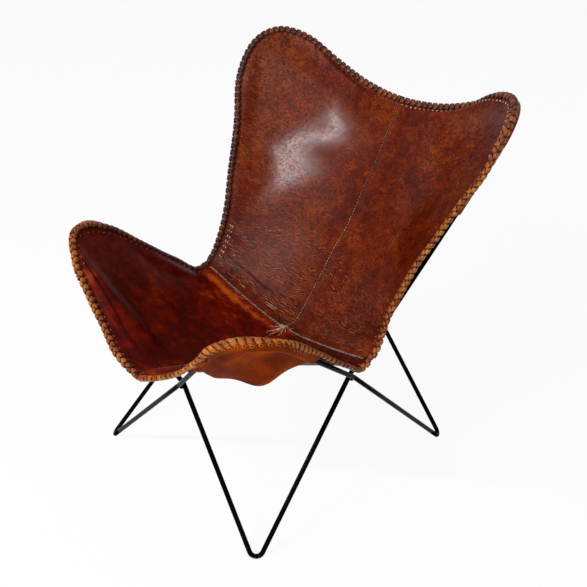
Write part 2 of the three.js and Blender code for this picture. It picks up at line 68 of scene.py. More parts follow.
def addNode(tree, kind, settings=None, inputs=(), stops=()):
    made = tree.nodes.new(kind)
    for key, value in (settings or {}).items():
        setattr(made, key, value)
    setInputs(tree, made, inputs)
    for i, (place, colour) in enumerate(stops):
        elements = made.color_ramp.elements
        stop = elements[i] if i < len(elements) else elements.new(place)
        stop.position, stop.color = place, linear(colour)
    return made


def smooth(low, high, x):
    t = np.clip((x - low) / (high - low), 0, 1)
    return t * t * (3 - 2 * t)


def unit(v):
    return v / np.maximum(np.linalg.norm(v, axis=-1, keepdims=True), 1e-12)


def dot(a, b):
    return np.sum(a * b, axis=-1)


def between(grid, i, j):  # a grid's value at fractions of rows and columns
    a, b = i.astype(int), j.astype(int)
    f, g = (i - a)[:, None], (j - b)[:, None]
    return (grid[a, b] * (1 - f) * (1 - g) + grid[a + 1, b] * f * (1 - g) + grid[a, b + 1] * (1 - f) * g
            + grid[a + 1, b + 1] * f * g)


def meshObject(name, points, faces, attributes=None, uv=None):
    mesh = bpy.data.meshes.new(name)
    mesh.from_pydata((np.asarray(points) * mm).tolist(), [], [list(map(int, f)) for f in faces])
    mesh.update()
    mesh.polygons.foreach_set("use_smooth", [True] * len(mesh.polygons))
    for key, values in (attributes or {}).items():
        layer = mesh.attributes.new(key, "FLOAT", "POINT")
        layer.data.foreach_set("value", np.asarray(values, np.float32).ravel())
    if uv is not None:
        corners = np.zeros(len(mesh.loops), np.int32)
        mesh.loops.foreach_get("vertex_index", corners)
        mesh.uv_layers.new(name="flat").data.foreach_set("uv", np.asarray(uv, np.float32)[corners].ravel())
    return placed(name, mesh)


def placed(name, data):
    made = bpy.data.objects.new(name, data)
    bpy.context.scene.collection.objects.link(made)
    return made


def tidyMesh(piece, distance=0.002):
    work = bmesh.new()
    work.from_mesh(piece.data)
    bmesh.ops.remove_doubles(work, verts=work.verts, dist=distance * mm)
    bmesh.ops.dissolve_degenerate(work, edges=work.edges, dist=distance * mm)
    bmesh.ops.recalc_face_normals(work, faces=work.faces)
    work.to_mesh(piece.data)
    work.free()
    return piece


def finishPiece(piece, replaced=(), material=None):
    if material:
        piece.data.materials.clear()
        piece.data.materials.append(material)
    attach(piece, "root")
    if replaced:
        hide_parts(*replaced)


# Camera, lights and floor

cameraSetup = {
    "place": (1.2846, -1.1215, 1.4371),
    "azimuth": 47.48,
    "elevation": 31.08,
    "roll": -0.69,
    "focalPixels": 900,
    "imagePixels": 587,
    "sensor": 36,
}


def makeCamera(setup):
    azimuth, elevation, roll = (math.radians(setup[k]) for k in ("azimuth", "elevation", "roll"))
    back = Vector((math.sin(azimuth) * math.cos(elevation), -math.cos(azimuth) * math.cos(elevation),
                   math.sin(elevation)))
    right = Vector((0, 0, 1)).cross(back).normalized()
    up = back.cross(right)
    right, up = (math.cos(roll) * right - math.sin(roll) * up, math.sin(roll) * right + math.cos(roll) * up)
    data = bpy.data.cameras.new("camera")
    data.sensor_width = setup["sensor"]
    data.lens = setup["focalPixels"] / setup["imagePixels"] * setup["sensor"]
    camera = placed("camera", data)
    turn = Matrix((right, up, back)).transposed().to_4x4()
    camera.matrix_world = Matrix.Translation(setup["place"]) @ turn
    bpy.context.scene.camera = camera


lightSetup = {
    "worldColour": "#ffffff",
    "worldStrength": 0.22,
    "floorColour": "#f8f8f8",
    "floorGlow": 0.93,
    "lamps": {
        "window": {"place": (-0.2, -1.95, 2.01), "aim": (-0.18, 0.27, 0.65), "size": (1.4, 0.066),
                   "along": (0.79, 0.42, 0.45), "watts": 60},
        "top": {"place": (0.6, -0.2, 3.2), "aim": (0, 0, 0.5), "size": (2.4, 2.4), "watts": 12},
        "side": {"place": (2.6, -1.4, 1.6), "aim": (0, 0, 0.4), "size": (1.6, 1.2), "watts": 9},
    },
}


def makeLamp(name, setup):
    data = bpy.data.lights.new(name, "AREA")
    data.shape = "RECTANGLE"
    data.size, data.size_y = setup["size"]
    data.energy = setup["watts"]
    lamp = placed(name, data)
    lamp.location = setup["place"]
    back = (Vector(setup["place"]) - Vector(setup["aim"])).normalized()
    up = back.cross(Vector(setup.get("along", (1, 0, 0)))).normalized()
    lamp.rotation_euler = Matrix((up.cross(back), up, back)).transposed().to_euler()


def makeStage(setup):
    world = bpy.data.worlds.new("studio")
    world.use_nodes = True
    tree = world.node_tree
    tree.nodes.clear()
    white = linear(setup["worldColour"])
    lit, seen = (addNode(tree, "ShaderNodeBackground", None, {"Color": white, "Strength": strength})
                 for strength in (setup["worldStrength"], 1.0))
    mix = addNode(tree, "ShaderNodeMixShader", None, (seenRays(tree), lit, seen))
    addNode(tree, "ShaderNodeOutputWorld", None, {"Surface": mix})
    bpy.context.scene.world = world
    for name, lamp in setup["lamps"].items():
        makeLamp(name, lamp)
    corners = np.array([(-1, -1, 0), (1, -1, 0), (1, 1, 0), (-1, 1, 0)]) * 9000
    floor = meshObject("floor", corners, [(0, 1, 2, 3)])
    floor.data.materials.append(floorMaterial(setup))


def seenRays(tree):  # 1 for the rays of the camera and of what metal and gloss show
    path = addNode(tree, "ShaderNodeLightPath").outputs
    mirrored = addNode(tree, "ShaderNodeMath", {"operation": "MAXIMUM"},
                       (path["Is Glossy Ray"], path["Is Transmission Ray"]))
    return addNode(tree, "ShaderNodeMath", {"operation": "MAXIMUM"}, (path["Is Camera Ray"], mirrored))


def floorMaterial(setup):  # matt white paper, which the camera sees nearly white with the chair's soft shadow
    material = bpy.data.materials.new("paperSweep")
    material.use_nodes = True
    tree = material.node_tree
    tree.nodes.clear()
    paper = addNode(tree, "ShaderNodeBsdfDiffuse", None, {"Color": linear(setup["floorColour"])})
    glow = addNode(tree, "ShaderNodeEmission", None, {"Color": linear(setup["worldColour"]), "Strength": 1.0})
    share = addNode(tree, "ShaderNodeMath", {"operation": "MULTIPLY"}, (seenRays(tree), setup["floorGlow"]))
    mix = addNode(tree, "ShaderNodeMixShader", None, (share, paper, glow))
    addNode(tree, "ShaderNodeOutputMaterial", None, {"Surface": mix})
    return material


makeCamera(cameraSetup)
makeStage(lightSetup)
bpy.context.scene.view_settings.view_transform = "Standard"
print("camera, lamps and floor placed")


# Materials

def newMaterial(name):
    material = bpy.data.materials.new(name)
    material.use_nodes = True
    tree = material.node_tree
    place = addNode(tree, "ShaderNodeTexCoord").outputs["Object"]
    return material, tree, tree.nodes["Principled BSDF"], place


# Among these colours, painted light: the darkest red is painted shade in creases, the pale pinkish one a
# painted highlight on crease crests, and the greyish plum a painted sheen on the ears.
backLook = {
    "deep": "#400e01", "middle": "#681c02", "warm": "#803408", "paintedSheen": "#481d15", "vein": "#240501",
    "paintedShade": "#300701", "ridgeHighlightColour": "#a65c38", "roughness": (0.12, 0.16), "gloss": 0.07, "veinShare": 0.9,
    "patchSize": 120, "mottleSize": 24, "veinSize": 8, "pebbleSize": 2.6,
}
seatLook = {
    "deep": "#450703", "middle": "#701402", "warm": "#a8480e", "paintedSheen": "#4d2620", "vein": "#2a0502",
    "paintedShade": "#330602", "ridgeHighlightColour": "#8a4a2c", "roughness": (0.34, 0.46), "gloss": 0.04, "veinShare": 0.45,
    "patchSize": 110, "mottleSize": 22, "veinSize": 8, "pebbleSize": 2.6,
}


def makeFaceLeather(name, look):
    # Vegetable-tanned goat leather, dyed by hand and waxed: clouds of orange and maroon, darker dye in fine
    # veins, painted shade in the creases, a painted highlight on the crease crests and a painted greyish
    # sheen on the ears, with a gloss that the grain breaks up. The pebbles of the grain are drawn about twice
    # as coarse as real ones, so that they show.
    material, tree, shader, place = newMaterial(name)
    flat = addNode(tree, "ShaderNodeUVMap", {"uv_map": "flat"})
    tone, paintedSheen, ridgeHighlight, paintedShade, dry = (
        addNode(tree, "ShaderNodeAttribute", {"attribute_name": key}).outputs["Fac"]
        for key in ("tone", "paintedSheen", "ridgeHighlight", "paintedShade", "dry"))
    clouds, mottle = (
        addNode(tree, "ShaderNodeTexNoise", None,
                {"Vector": place, "Scale": 1 / (look[size] * mm), "Detail": detail, "Distortion": bend})
        for size, detail, bend in (("patchSize", 4.0, 0.6), ("mottleSize", 5.0, 0.5)))
    warmth = addNode(tree, "ShaderNodeMapRange", None, (clouds, 0.3, 0.7, 0.2, 0.8))
    mottleTone = addNode(tree, "ShaderNodeMapRange", None, (mottle, 0.3, 0.7, -0.28, 0.28))
    for more in (tone, mottleTone):
        warmth = addNode(tree, "ShaderNodeMath", {"operation": "ADD"}, (warmth, more))
    colour = addNode(tree, "ShaderNodeValToRGB", None, {"Fac": warmth},
                     [(0.05, look["deep"]), (0.5, look["middle"]), (0.95, look["warm"])])
    # Fine veins run through the grain where a noise passes its middle value.
    stretched = addNode(tree, "ShaderNodeMapping", None, {"Vector": flat, "Scale": (0.6, 1.0, 1.0)})
    grain = addNode(tree, "ShaderNodeTexNoise", None,
                    {"Vector": stretched, "Scale": 1 / (look["veinSize"] * mm), "Detail": 3.0,
                     "Distortion": 1.4})
    fromMiddle = addNode(tree, "ShaderNodeMath", {"operation": "SUBTRACT"}, (grain, 0.5))
    fromMiddle = addNode(tree, "ShaderNodeMath", {"operation": "ABSOLUTE"}, (fromMiddle,))
    vein = addNode(tree, "ShaderNodeMapRange", None, (fromMiddle, 0.0, 0.08, 1.0, 0.0))
    veinShare = addNode(tree, "ShaderNodeMath", {"operation": "MULTIPLY"}, (vein, look["veinShare"]))
    # Painted shade: a darker colour mixed in where the attribute marks crease hollows, grooves and the seat
    # beside the cross seam.
    paintedShadeShare = addNode(tree, "ShaderNodeMapRange", None, (paintedShade, 0.1, 0.8, 0.0, 0.9))
    # Painted highlight: a pale pinkish colour on the crest of each crease.
    ridgeHighlightShare = addNode(tree, "ShaderNodeMapRange", None, (ridgeHighlight, 0.2, 0.8, 0.0, 0.68))
    # Painted sheen on the ears: a greyish plum colour mixed in by its attribute.
    for share, key in ((paintedSheen, "paintedSheen"), (veinShare, "vein"), (paintedShadeShare, "paintedShade"), (ridgeHighlightShare, "ridgeHighlightColour")):
        colour = addNode(tree, "ShaderNodeMix", {"data_type": "RGBA"},
                         {0: share, 6: colour, 7: linear(look[key])}).outputs[2]
    pebble = addNode(tree, "ShaderNodeTexVoronoi", {"feature": "DISTANCE_TO_EDGE"},
                     {"Vector": flat, "Scale": 1 / (look["pebbleSize"] * mm)})
    height = addNode(tree, "ShaderNodeMapRange", None, (pebble, 0.0, 0.3, 0.0, 0.03))
    veinHeight = addNode(tree, "ShaderNodeMapRange", None, (fromMiddle, 0.0, 0.02, -0.08, 0.0))
    mottleHeight = addNode(tree, "ShaderNodeMath", {"operation": "MULTIPLY"}, (mottle, 0.1))
    for more in (veinHeight, mottleHeight):
        height = addNode(tree, "ShaderNodeMath", {"operation": "ADD"}, (height, more))
    bump = addNode(tree, "ShaderNodeBump", None, {"Height": height, "Distance": 0.0004, "Strength": 0.6})
    rough = addNode(tree, "ShaderNodeMapRange", None, (mottle, 0.3, 0.7, *look["roughness"]))
    for value, share in ((vein, 0.06), (dry, 0.3)):
        more = addNode(tree, "ShaderNodeMath", {"operation": "MULTIPLY"}, (value, share))
        rough = addNode(tree, "ShaderNodeMath", {"operation": "ADD"}, (rough, more))
    setInputs(tree, shader, {"Base Color": colour, "Normal": bump, "Roughness": rough, "IOR": 1.5,
                             "Specular IOR Level": look["gloss"]})
    return material


pocketLook = {"dark": "#5c2003", "middle": "#883004", "light": "#a64a08", "patchSize": 60, "fibreSize": 4}


def makePocketLeather(look):
    # The same hide undyed and oiled, with the flesh side's fine nap: orange tan and nearly matt.
    material, tree, shader, place = newMaterial("oiledTanLeather")
    clouds, fibre = (
        addNode(tree, "ShaderNodeTexNoise", None,
                {"Vector": place, "Scale": 1 / (look[size] * mm), "Detail": detail, "Distortion": bend})
        for size, detail, bend in (("patchSize", 4.0, 0.5), ("fibreSize", 3.0, 0.8)))
    both = addNode(tree, "ShaderNodeMix", None, {0: 0.25, 2: clouds, 3: fibre})
    colour = addNode(tree, "ShaderNodeValToRGB", None, {"Fac": both},
                     [(0.34, look["dark"]), (0.5, look["middle"]), (0.66, look["light"])])
    bump = addNode(tree, "ShaderNodeBump", None, {"Height": fibre, "Distance": 0.0004, "Strength": 0.6})
    rough = addNode(tree, "ShaderNodeMapRange", None, (clouds, 0.3, 0.7, 0.5, 0.66))
    setInputs(tree, shader, {"Base Color": colour, "Normal": bump, "Roughness": rough,
                             "Specular IOR Level": 0.02})
    return material


laceLook = {
    # The darkest colour here is painted shade, mixed into the bars' ends, the roll between them and the
    # holes.
    "dyed": "#3a130a", "tan": "#823e14", "honey": "#c87e30", "hollowShade": "#1a0804", "strandSize": 14,
    "fineSize": 2.2,
}


def makeLaceLeather(look):
    # Calf thong cut by hand: dyed with the face on the face side, bare honey tan where the dye is worn or
    # missed.
    material, tree, shader, place = newMaterial("calfThong")
    share, hollowShade = (addNode(tree, "ShaderNodeAttribute", {"attribute_name": key}).outputs["Fac"]
                     for key in ("bare", "hollowShade"))
    clouds = addNode(tree, "ShaderNodeTexNoise", None,
                     {"Vector": place, "Scale": 1 / (look["strandSize"] * mm), "Detail": 3.0,
                      "Distortion": 0.3})
    fine = addNode(tree, "ShaderNodeTexNoise", None,
                   {"Vector": place, "Scale": 1 / (look["fineSize"] * mm), "Detail": 3.0})
    for noise in (clouds, fine):
        worn = addNode(tree, "ShaderNodeMapRange", None, (noise, 0.3, 0.7, -0.2, 0.2))
        share = addNode(tree, "ShaderNodeMath", {"operation": "ADD"}, (share, worn))
    colour = addNode(tree, "ShaderNodeValToRGB", None, {"Fac": share},
                     [(0.05, look["dyed"]), (0.5, look["tan"]), (1.0, look["honey"])])
    # Painted shade: darker at each bar's ends, on the roll and in the holes.
    shaded = addNode(tree, "ShaderNodeMix", {"data_type": "RGBA"},
                     {0: hollowShade, 6: colour, 7: linear(look["hollowShade"])}).outputs[2]
    bump = addNode(tree, "ShaderNodeBump", None, {"Height": fine, "Distance": 0.0004, "Strength": 0.5})
    rough = addNode(tree, "ShaderNodeMapRange", None, (clouds, 0.3, 0.7, 0.32, 0.44))
    setInputs(tree, shader, {"Base Color": shaded, "Normal": bump, "Roughness": rough,
                             "Specular IOR Level": 0.2})
    return material


threadLooks = {"linenThread": ("#c9a48c", "#80594a"), "greyLinenThread": ("#93796a", "#4d372e")}
threadPatch = 5


def makeThread(name, light, dark):  # waxed linen thread: pale with dark dye rubbed in, slightly glossy
    material, tree, shader, place = newMaterial(name)
    fine = addNode(tree, "ShaderNodeTexNoise", None,
                   {"Vector": place, "Scale": 1 / (threadPatch * mm), "Detail": 3.0})
    colour = addNode(tree, "ShaderNodeValToRGB", None, {"Fac": fine}, [(0.35, dark), (0.65, light)])
    setInputs(tree, shader, {"Base Color": colour, "Roughness": 0.5, "Specular IOR Level": 0.2})
    return material


rodLook = {"paint": "#070708", "steel": "#6f675c", "orangePeelSize": 2.2, "scuffSize": 6, "wornHeight": 0.011}


def makeRodPaint(look):
    # Black enamel sprayed on steel rod: a slight orange peel, and worn to metal where a foot stands.
    material, tree, shader, place = newMaterial("glossEnamel")
    peel = addNode(tree, "ShaderNodeTexNoise", None,
                   {"Vector": place, "Scale": 1 / (look["orangePeelSize"] * mm)})
    bump = addNode(tree, "ShaderNodeBump", None, {"Height": peel, "Distance": 0.0002, "Strength": 0.1})
    height = addNode(tree, "ShaderNodeSeparateXYZ", None, (place,)).outputs["Z"]
    low = addNode(tree, "ShaderNodeMapRange", None, (height, 0.0, look["wornHeight"], 1.0, 0.0))
    scuffs = addNode(tree, "ShaderNodeTexNoise", None,
                     {"Vector": place, "Scale": 1 / (look["scuffSize"] * mm), "Detail": 4.0})
    patchy = addNode(tree, "ShaderNodeMapRange", None, (scuffs, 0.3, 0.7, -0.5, 0.5))
    worn = addNode(tree, "ShaderNodeMath", {"operation": "ADD"}, (low, patchy))
    worn = addNode(tree, "ShaderNodeMapRange", None, (worn, 0.55, 0.75))
    colour = addNode(tree, "ShaderNodeMix", {"data_type": "RGBA"},
                     {0: worn, 6: linear(look["paint"]), 7: linear(look["steel"])}).outputs[2]
    rough = addNode(tree, "ShaderNodeMapRange", None, {"Value": worn, "To Min": 0.14, "To Max": 0.5})
    setInputs(tree, shader, {"Base Color": colour, "Metallic": worn, "Roughness": rough, "Normal": bump,
                             "Specular IOR Level": 0.01})
    return material


faceLeather = {True: makeFaceLeather("waxedBackLeather", backLook),
               False: makeFaceLeather("waxedSeatLeather", seatLook)}
pocketLeather = makePocketLeather(pocketLook)
laceLeather = makeLaceLeather(laceLook)
paleThread, greyThread = (makeThread(name, *colours) for name, colours in threadLooks.items())
rodPaint = makeRodPaint(rodLook)
print("materials made")


# Frame of bent rod, in millimetres from the middle of the frame

rod = {
    "diameter": 10.6, "footBend": 15, "kink": 24, "footFlat": 0.5, "gap": 0.6,
    "frontFoot": (549, 303), "backFoot": (534, 302),
    "frontCrossing": (0, -272, 290), "backCrossing": (0, 282, 297), "sideCrossing": (227, 9, 300),
    "frontHoopRadius": 75, "frontTip": (287.5, -321, 555),
    "backHoopRadius": 85, "backTip": (337, 314, 855),
    "buttHeight": 52, "sides": 24, "weldRadius": 5.2, "weldDrop": 8,
}
bead = {"steps": 24, "sides": 16, "ripples": 6, "rippleShare": 0.07, "lengthShare": 1.7, "radiusShare": 0.98,
        "drop": rod["weldDrop"] - 1.2}
rodRadius = rod["diameter"] / 2
backTip = np.array(rod["backTip"], float)
frontTip = np.array(rod["frontTip"], float)
sideCrossing = np.array(rod["sideCrossing"], float)


def bentPath(corners, radii, steps):
    points = [corners[0]]
    for i in range(1, len(corners) - 1):
        before = unit(corners[i - 1] - corners[i])
        after = unit(corners[i + 1] - corners[i])
        half = math.acos(np.clip(before @ after, -1, 1)) / 2
        reach = radii[i - 1] / math.tan(half)
        centre = corners[i] + unit(before + after) * radii[i - 1] / math.sin(half)
        start = corners[i] + before * reach - centre
        end = corners[i] + after * reach - centre
        turn = math.pi - 2 * half
        for k in range(steps[i - 1] + 1):
            f = k / steps[i - 1]
            arc = start * math.sin((1 - f) * turn) + end * math.sin(f * turn)
            points.append(centre + arc / math.sin(turn))
    return np.array(points + [corners[-1]])


crossingPlace = {"front": np.array(rod["frontCrossing"], float), "back": np.array(rod["backCrossing"], float),
                 "right": sideCrossing, "left": sideCrossing * mirrorX}
crossingOutward = {"front": (0, -1, 0), "back": (0, 1, 0), "right": (1, 0, 0), "left": (-1, 0, 0)}


def lapped(name, outer):
    side = (rod["diameter"] + rod["gap"]) / 2
    return crossingPlace[name] + np.array(crossingOutward[name]) * (side if outer else -side)


def footCorner(x, y, first, second):
    corner = np.array([x, y, 0.0])
    for _ in range(12):
        low = bentPath([first, corner, second], [rod["footBend"]], [24])[:, 2].min()
        corner[2] -= low - rodRadius + rod["footFlat"]
    return corner


def hoopCorner(tip, first, second, radius):
    base = (first + second) / 2
    low, high = 1.0, 3.0
    for _ in range(40):
        k = (low + high) / 2
        corner = base + (tip - base) * k
        half = math.acos(unit(first - corner) @ unit(second - corner)) / 2
        if np.linalg.norm(corner - tip) < radius * (1 / math.sin(half) - 1):
            low = k
        else:
            high = k
    return base + (tip - base) * low


loopOuter = {"frontRight": False, "backLeft": False, "frontLeft": True, "backRight": True}
footPlace = {
    "frontRight": (rod["frontFoot"][0] / 2, -rod["frontFoot"][1], "front", "right"),
    "frontLeft": (-rod["frontFoot"][0] / 2, -rod["frontFoot"][1], "front", "left"),
    "backRight": (rod["backFoot"][0] / 2, rod["backFoot"][1], "right", "back"),
    "backLeft": (-rod["backFoot"][0] / 2, rod["backFoot"][1], "left", "back"),
}
footAt = {name: footCorner(x, y, lapped(a, loopOuter[name]), lapped(b, loopOuter[name]))
          for name, (x, y, a, b) in footPlace.items()}


def legPoint(foot, cross, distance):
    return footAt[foot] + unit(lapped(cross, loopOuter[foot]) - footAt[foot]) * distance


def rodPath(isBack, side):
    sign = 1 if side == "right" else -1
    other = "left" if side == "right" else "right"
    near, far = side.capitalize(), other.capitalize()
    butt = rod["buttHeight"]
    if isBack:
        outer = side == "left"
        near, far = "front" + near, "back" + far
        first, second = lapped(side, outer), lapped("back", outer)
        tip = hoopCorner(backTip * [sign, 1, 1], first, second, rod["backHoopRadius"])
        corners = [legPoint(near, "front", butt), footAt[near], first, tip, second, footAt[far],
                   legPoint(far, other, butt)]
        radii = [rod["footBend"], rod["kink"], rod["backHoopRadius"], rod["kink"], rod["footBend"]]
        return bentPath(corners, radii, [12, 6, 32, 6, 12])
    outer = side == "right"
    near, far = "front" + far, "back" + near
    first, second = lapped("front", outer), lapped(side, outer)
    tip = hoopCorner(frontTip * [sign, 1, 1], first, second, rod["frontHoopRadius"])
    corners = [legPoint(near, "front", butt), first, tip, second, legPoint(far, side, butt)]
    return bentPath(corners, [rod["kink"], rod["frontHoopRadius"], rod["kink"]], [6, 32, 6])


def sweepMesh(rings):
    count, sides = len(rings), len(rings[0])
    faces = [(i + k, i + (k + 1) % sides, i + sides + (k + 1) % sides, i + sides + k)
             for i in range(0, (count - 1) * sides, sides) for k in range(sides)]
    faces.append(tuple(reversed(range(sides))))
    faces.append(tuple(range((count - 1) * sides, count * sides)))
    return np.concatenate(rings), faces


def tubeRings(path, radii, sides):
    after = np.vstack([unit(np.diff(path, axis=0)), unit(path[-1] - path[-2])])
    before = np.vstack([after[0], after[:-1]])
    tangents = unit(after + before)
    radii = np.broadcast_to(radii, len(path))
    side = unit(np.cross([0, 0, 1], tangents[0]))
    angles = 2 * math.pi * (np.arange(sides) + 0.5) / sides
    rings = []
    for p, t, radius in zip(path, tangents, radii):
        side = unit(side - (side @ t) * t)
        other = np.cross(t, side)
        rings.append(p + radius * (np.cos(angles)[:, None] * side + np.sin(angles)[:, None] * other))
    return rings


rodPaths = {f"rod_{'back' if isBack else 'front'}_{side}": rodPath(isBack, side)
            for isBack in (True, False) for side in ("right", "left")}
low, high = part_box("rod_back_right")
pathY = rodPaths["rod_back_right"][:, 1]
shift = np.array([0, (low.y + high.y) / 2 / mm - (pathY.min() + pathY.max()) / 2, 0])
print("the frame's middle lies", round(shift[1], 2), "mm behind the origin")


def makeRods():
    for name, path in rodPaths.items():
        points, faces = sweepMesh(tubeRings(path, rodRadius, rod["sides"]))
        points = points + shift
        points[:, 2] = np.maximum(points[:, 2], 0)  # the small flat on which each foot stands
        finishPiece(tidyMesh(meshObject(name + "_enamel", points, faces)), [name], rodPaint)


def makeButtWelds():
    profile = [(-1.2, 0.0), (-1.0, 0.14), (-0.5, 0.24), (0, 0.27), (0.5, 0.24), (1.0, 0.14), (1.2, 0.0)]
    paint = 0.02
    places = {"front_right": ("frontRight", "front"), "front_left": ("frontLeft", "front"),
              "back_right": ("backRight", "right"), "back_left": ("backLeft", "left")}
    for name, (foot, cross) in places.items():
        path = np.array([legPoint(foot, cross, rod["buttHeight"] + along) for along, _ in profile])
        radii = [rodRadius + paint + proud for _, proud in profile]
        points, faces = sweepMesh(tubeRings(path, radii, rod["sides"]))
        finishPiece(tidyMesh(meshObject(f"butt_weld_{name}_dressed", points + shift, faces)),
                    ["butt_weld_" + name], rodPaint)


def makeCrossingWelds():  # a fillet of overlapping ripples in the lower crotch of each crossing
    angles = 2 * math.pi * np.arange(bead["sides"]) / bead["sides"]
    for name in crossingPlace:
        feet = [foot for foot in footPlace if name in footPlace[foot]]
        legs = [unit(footAt[foot] - lapped(name, loopOuter[foot])) for foot in feet]
        down = unit(legs[0] + legs[1])
        across = unit(legs[0] - legs[1])
        outward = np.cross(down, across)
        rings = []
        for i in range(bead["steps"] + 1):
            f = i / bead["steps"]
            bulk = math.sin(math.pi * min(max(f, 0.03), 0.97)) ** 0.5
            ripple = 1 + bead["rippleShare"] * math.cos(f * bead["ripples"] * 2 * math.pi)
            centre = crossingPlace[name] + down * bead["drop"]
            centre = centre + outward * (f - 0.5) * rod["weldRadius"] * bead["lengthShare"]
            radius = rod["weldRadius"] * bead["radiusShare"] * bulk * ripple
            section = np.cos(angles)[:, None] * across + 0.95 * np.sin(angles)[:, None] * down
            rings.append(centre + radius * section)
        points, faces = sweepMesh(rings)
        finishPiece(tidyMesh(meshObject(f"crossing_weld_{name}_bead", points + shift, faces)),
                    [f"crossing_weld_{name}"], rodPaint)


makeRods()
makeButtWelds()
makeCrossingWelds()
print("rods and welds made")


# Sling pattern: the rim and the ribs, as shares of the frame's places

sling = {
    "thickness": 2.6, "gap": 0.25, "tuckShare": 0.55, "tuckDrop": 0.4,
    "drapeClearance": 0.5, "drapeBlend": 4, "drapeSpread": 40, "drapeReach": 70,
    "lap": 18, "ramp": 16, "skive": 1.4, "laceWidth": 16, "laceThickness": 9, "laceGap": 1.3,
}
clearFace = rodRadius + sling["thickness"] / 2 + sling["drapeClearance"]
clearLace = rodRadius + sling["laceThickness"] / 2 + sling["drapeClearance"]
rimShares = [  # the rim from the top's middle to the front's: a base, and shares of it across, back and up
    ("backPlace", 0, 1.166, 0.908), ("backPlace", 0.312, 1.178, 0.919), ("backPlace", 0.602, 1.166, 0.956),
    ("backEar", -0.67, 0.31, 0.08), ("backEar", 0.08, -0.13, 0.21), ("backEar", 0.46, -0.78, -0.16),
    ("backSide", 1.373, 0.626, 0.831), ("backSide", 1.064, 0.502, 0.667), ("backSide", 0.709, 0.325, 0.494),
    ("backSide", 0.509, 0.203, 0.306), ("backSide", 0.491, 0.089, 0.164), ("backSide", 0.509, -0.082, 0.105),
    ("frontSide", 1.157, 0.239, 0.388), ("frontSide", 1.24, 0.476, 0.631), ("frontSide", 1.339, 0.694, 0.886),
    ("frontEar", 0.18, 0.43, 0.08), ("frontEar", -0.19, -0.28, 0.17), ("frontEar", -0.7, -0.65, -0.29),
    ("frontPlace", 0.64, 1.174, 0.863), ("frontPlace", 0.421, 1.187, 0.773),
    ("frontPlace", 0.188, 1.221, 0.703), ("frontPlace", 0, 1.19, 0.652),
]
# Each rib: how far back and up it leaves the centre seam, the rim's station that it meets, its sag's power.
backRibShares = np.array([
    (0.073, 0.005, 10.5, 1.5), (0.185, 0.027, 10.05, 1.6), (0.35, 0.137, 9.3, 1.8), (0.535, 0.279, 8.5, 1.9),
    (0.691, 0.384, 7.8, 1.9), (0.831, 0.519, 7.0, 1.9), (0.933, 0.609, 6.3, 1.8), (1.019, 0.703, 5.5, 1.7),
    (1.076, 0.766, 4.6, 1.7), (1.115, 0.814, 3.4, 1.8), (1.137, 0.843, 1.9, 2.0), (1.146, 0.86, 0, 2.0),
])
seatRibShares = np.array([
    (-0.072, 0.011, 10.5, 1.5), (0.156, 0.014, 11.6, 1.5), (0.436, 0.039, 12.6, 1.5),
    (0.654, 0.078, 13.7, 1.5), (0.816, 0.122, 14.8, 1.5), (0.935, 0.169, 15.8, 1.45),
    (1.028, 0.208, 16.8, 1.4), (1.097, 0.231, 18.0, 1.4), (1.153, 0.243, 19.6, 1.5), (1.19, 0.243, 21, 1.6),
])
rimBases = {
    "backPlace": (np.zeros(3), backTip), "frontPlace": (np.zeros(3), frontTip),
    "backSide": (sideCrossing, backTip - sideCrossing), "frontSide": (sideCrossing, frontTip - sideCrossing),
    "backEar": (backTip, np.full(3, float(rod["backHoopRadius"]))),
    "frontEar": (frontTip, np.full(3, float(rod["frontHoopRadius"]))),
}
rimRows = np.array([rimBases[base][0] + np.array(share) * rimBases[base][1] for base, *share in rimShares])
rimLast = len(rimRows) - 1
backRibs, seatRibs = len(backRibShares) - 1, len(seatRibShares) - 1
layer = sling["thickness"] + sling["gap"]


def tableAt(rows, s, mirror=False):  # a smooth curve through the rows, which may mirror at its ends
    last = len(rows) - 1
    before = rows[1] * mirrorX if mirror else 2 * rows[0] - rows[1]
    after = rows[-2] * mirrorX if mirror else 2 * rows[-1] - rows[-2]
    padded = np.vstack([before, rows, after])
    t = np.clip(np.asarray(s, float), 0, last)
    i = np.minimum(t.astype(int), last - 1)
    f = (t - i)[..., None]
    a, b, c, d = padded[i], padded[i + 1], padded[i + 2], padded[i + 3]
    m0, m1 = (c - a) / 2, (d - b) / 2
    return (b * (2 * f**3 - 3 * f**2 + 1) + m0 * (f**3 - 2 * f**2 + f) + c * (3 * f**2 - 2 * f**3)
            + m1 * (f**3 - f**2))


def rimPoint(station):
    return tableAt(rimRows, station, True)


def ribAt(rib):
    rib = np.asarray(rib, float)
    isBack = (rib >= 0)[..., None]
    share = np.where(isBack, tableAt(backRibShares, np.abs(rib)), tableAt(seatRibShares, np.abs(rib)))
    tip = np.where(isBack, backTip, frontTip)
    seam = np.stack([np.zeros_like(rib), share[..., 0] * tip[..., 1],
                     sideCrossing[2] + (tip[..., 2] - sideCrossing[2]) * share[..., 1]], -1)
    return seam, share[..., 2], share[..., 3]


def rimFrame(rib):
    seam, _, sag = ribAt(np.clip(rib, -(seatRibs - 3), backRibs - 3))
    station = ribAt(rib)[1]
    point = rimPoint(station)
    step = 0.02
    tangent = unit(rimPoint(np.minimum(station + step, rimLast)) - rimPoint(np.maximum(station - step, 0)))
    tangent = np.where((station < step)[..., None], [1.0, 0, 0], tangent)
    tangent = np.where((station > rimLast - step)[..., None], [-1.0, 0, 0], tangent)
    toSeam = seam - point
    inward = np.stack([-point[..., 0], sag * toSeam[..., 1], sag * toSeam[..., 2]], -1)
    inward = unit(inward - dot(inward, tangent)[..., None] * tangent)
    return point, tangent, inward, unit(np.cross(inward, tangent))


def edgePoint(rib):
    point, _, inward, _ = rimFrame(rib)
    return point + inward * (sling["laceWidth"] + sling["laceGap"])


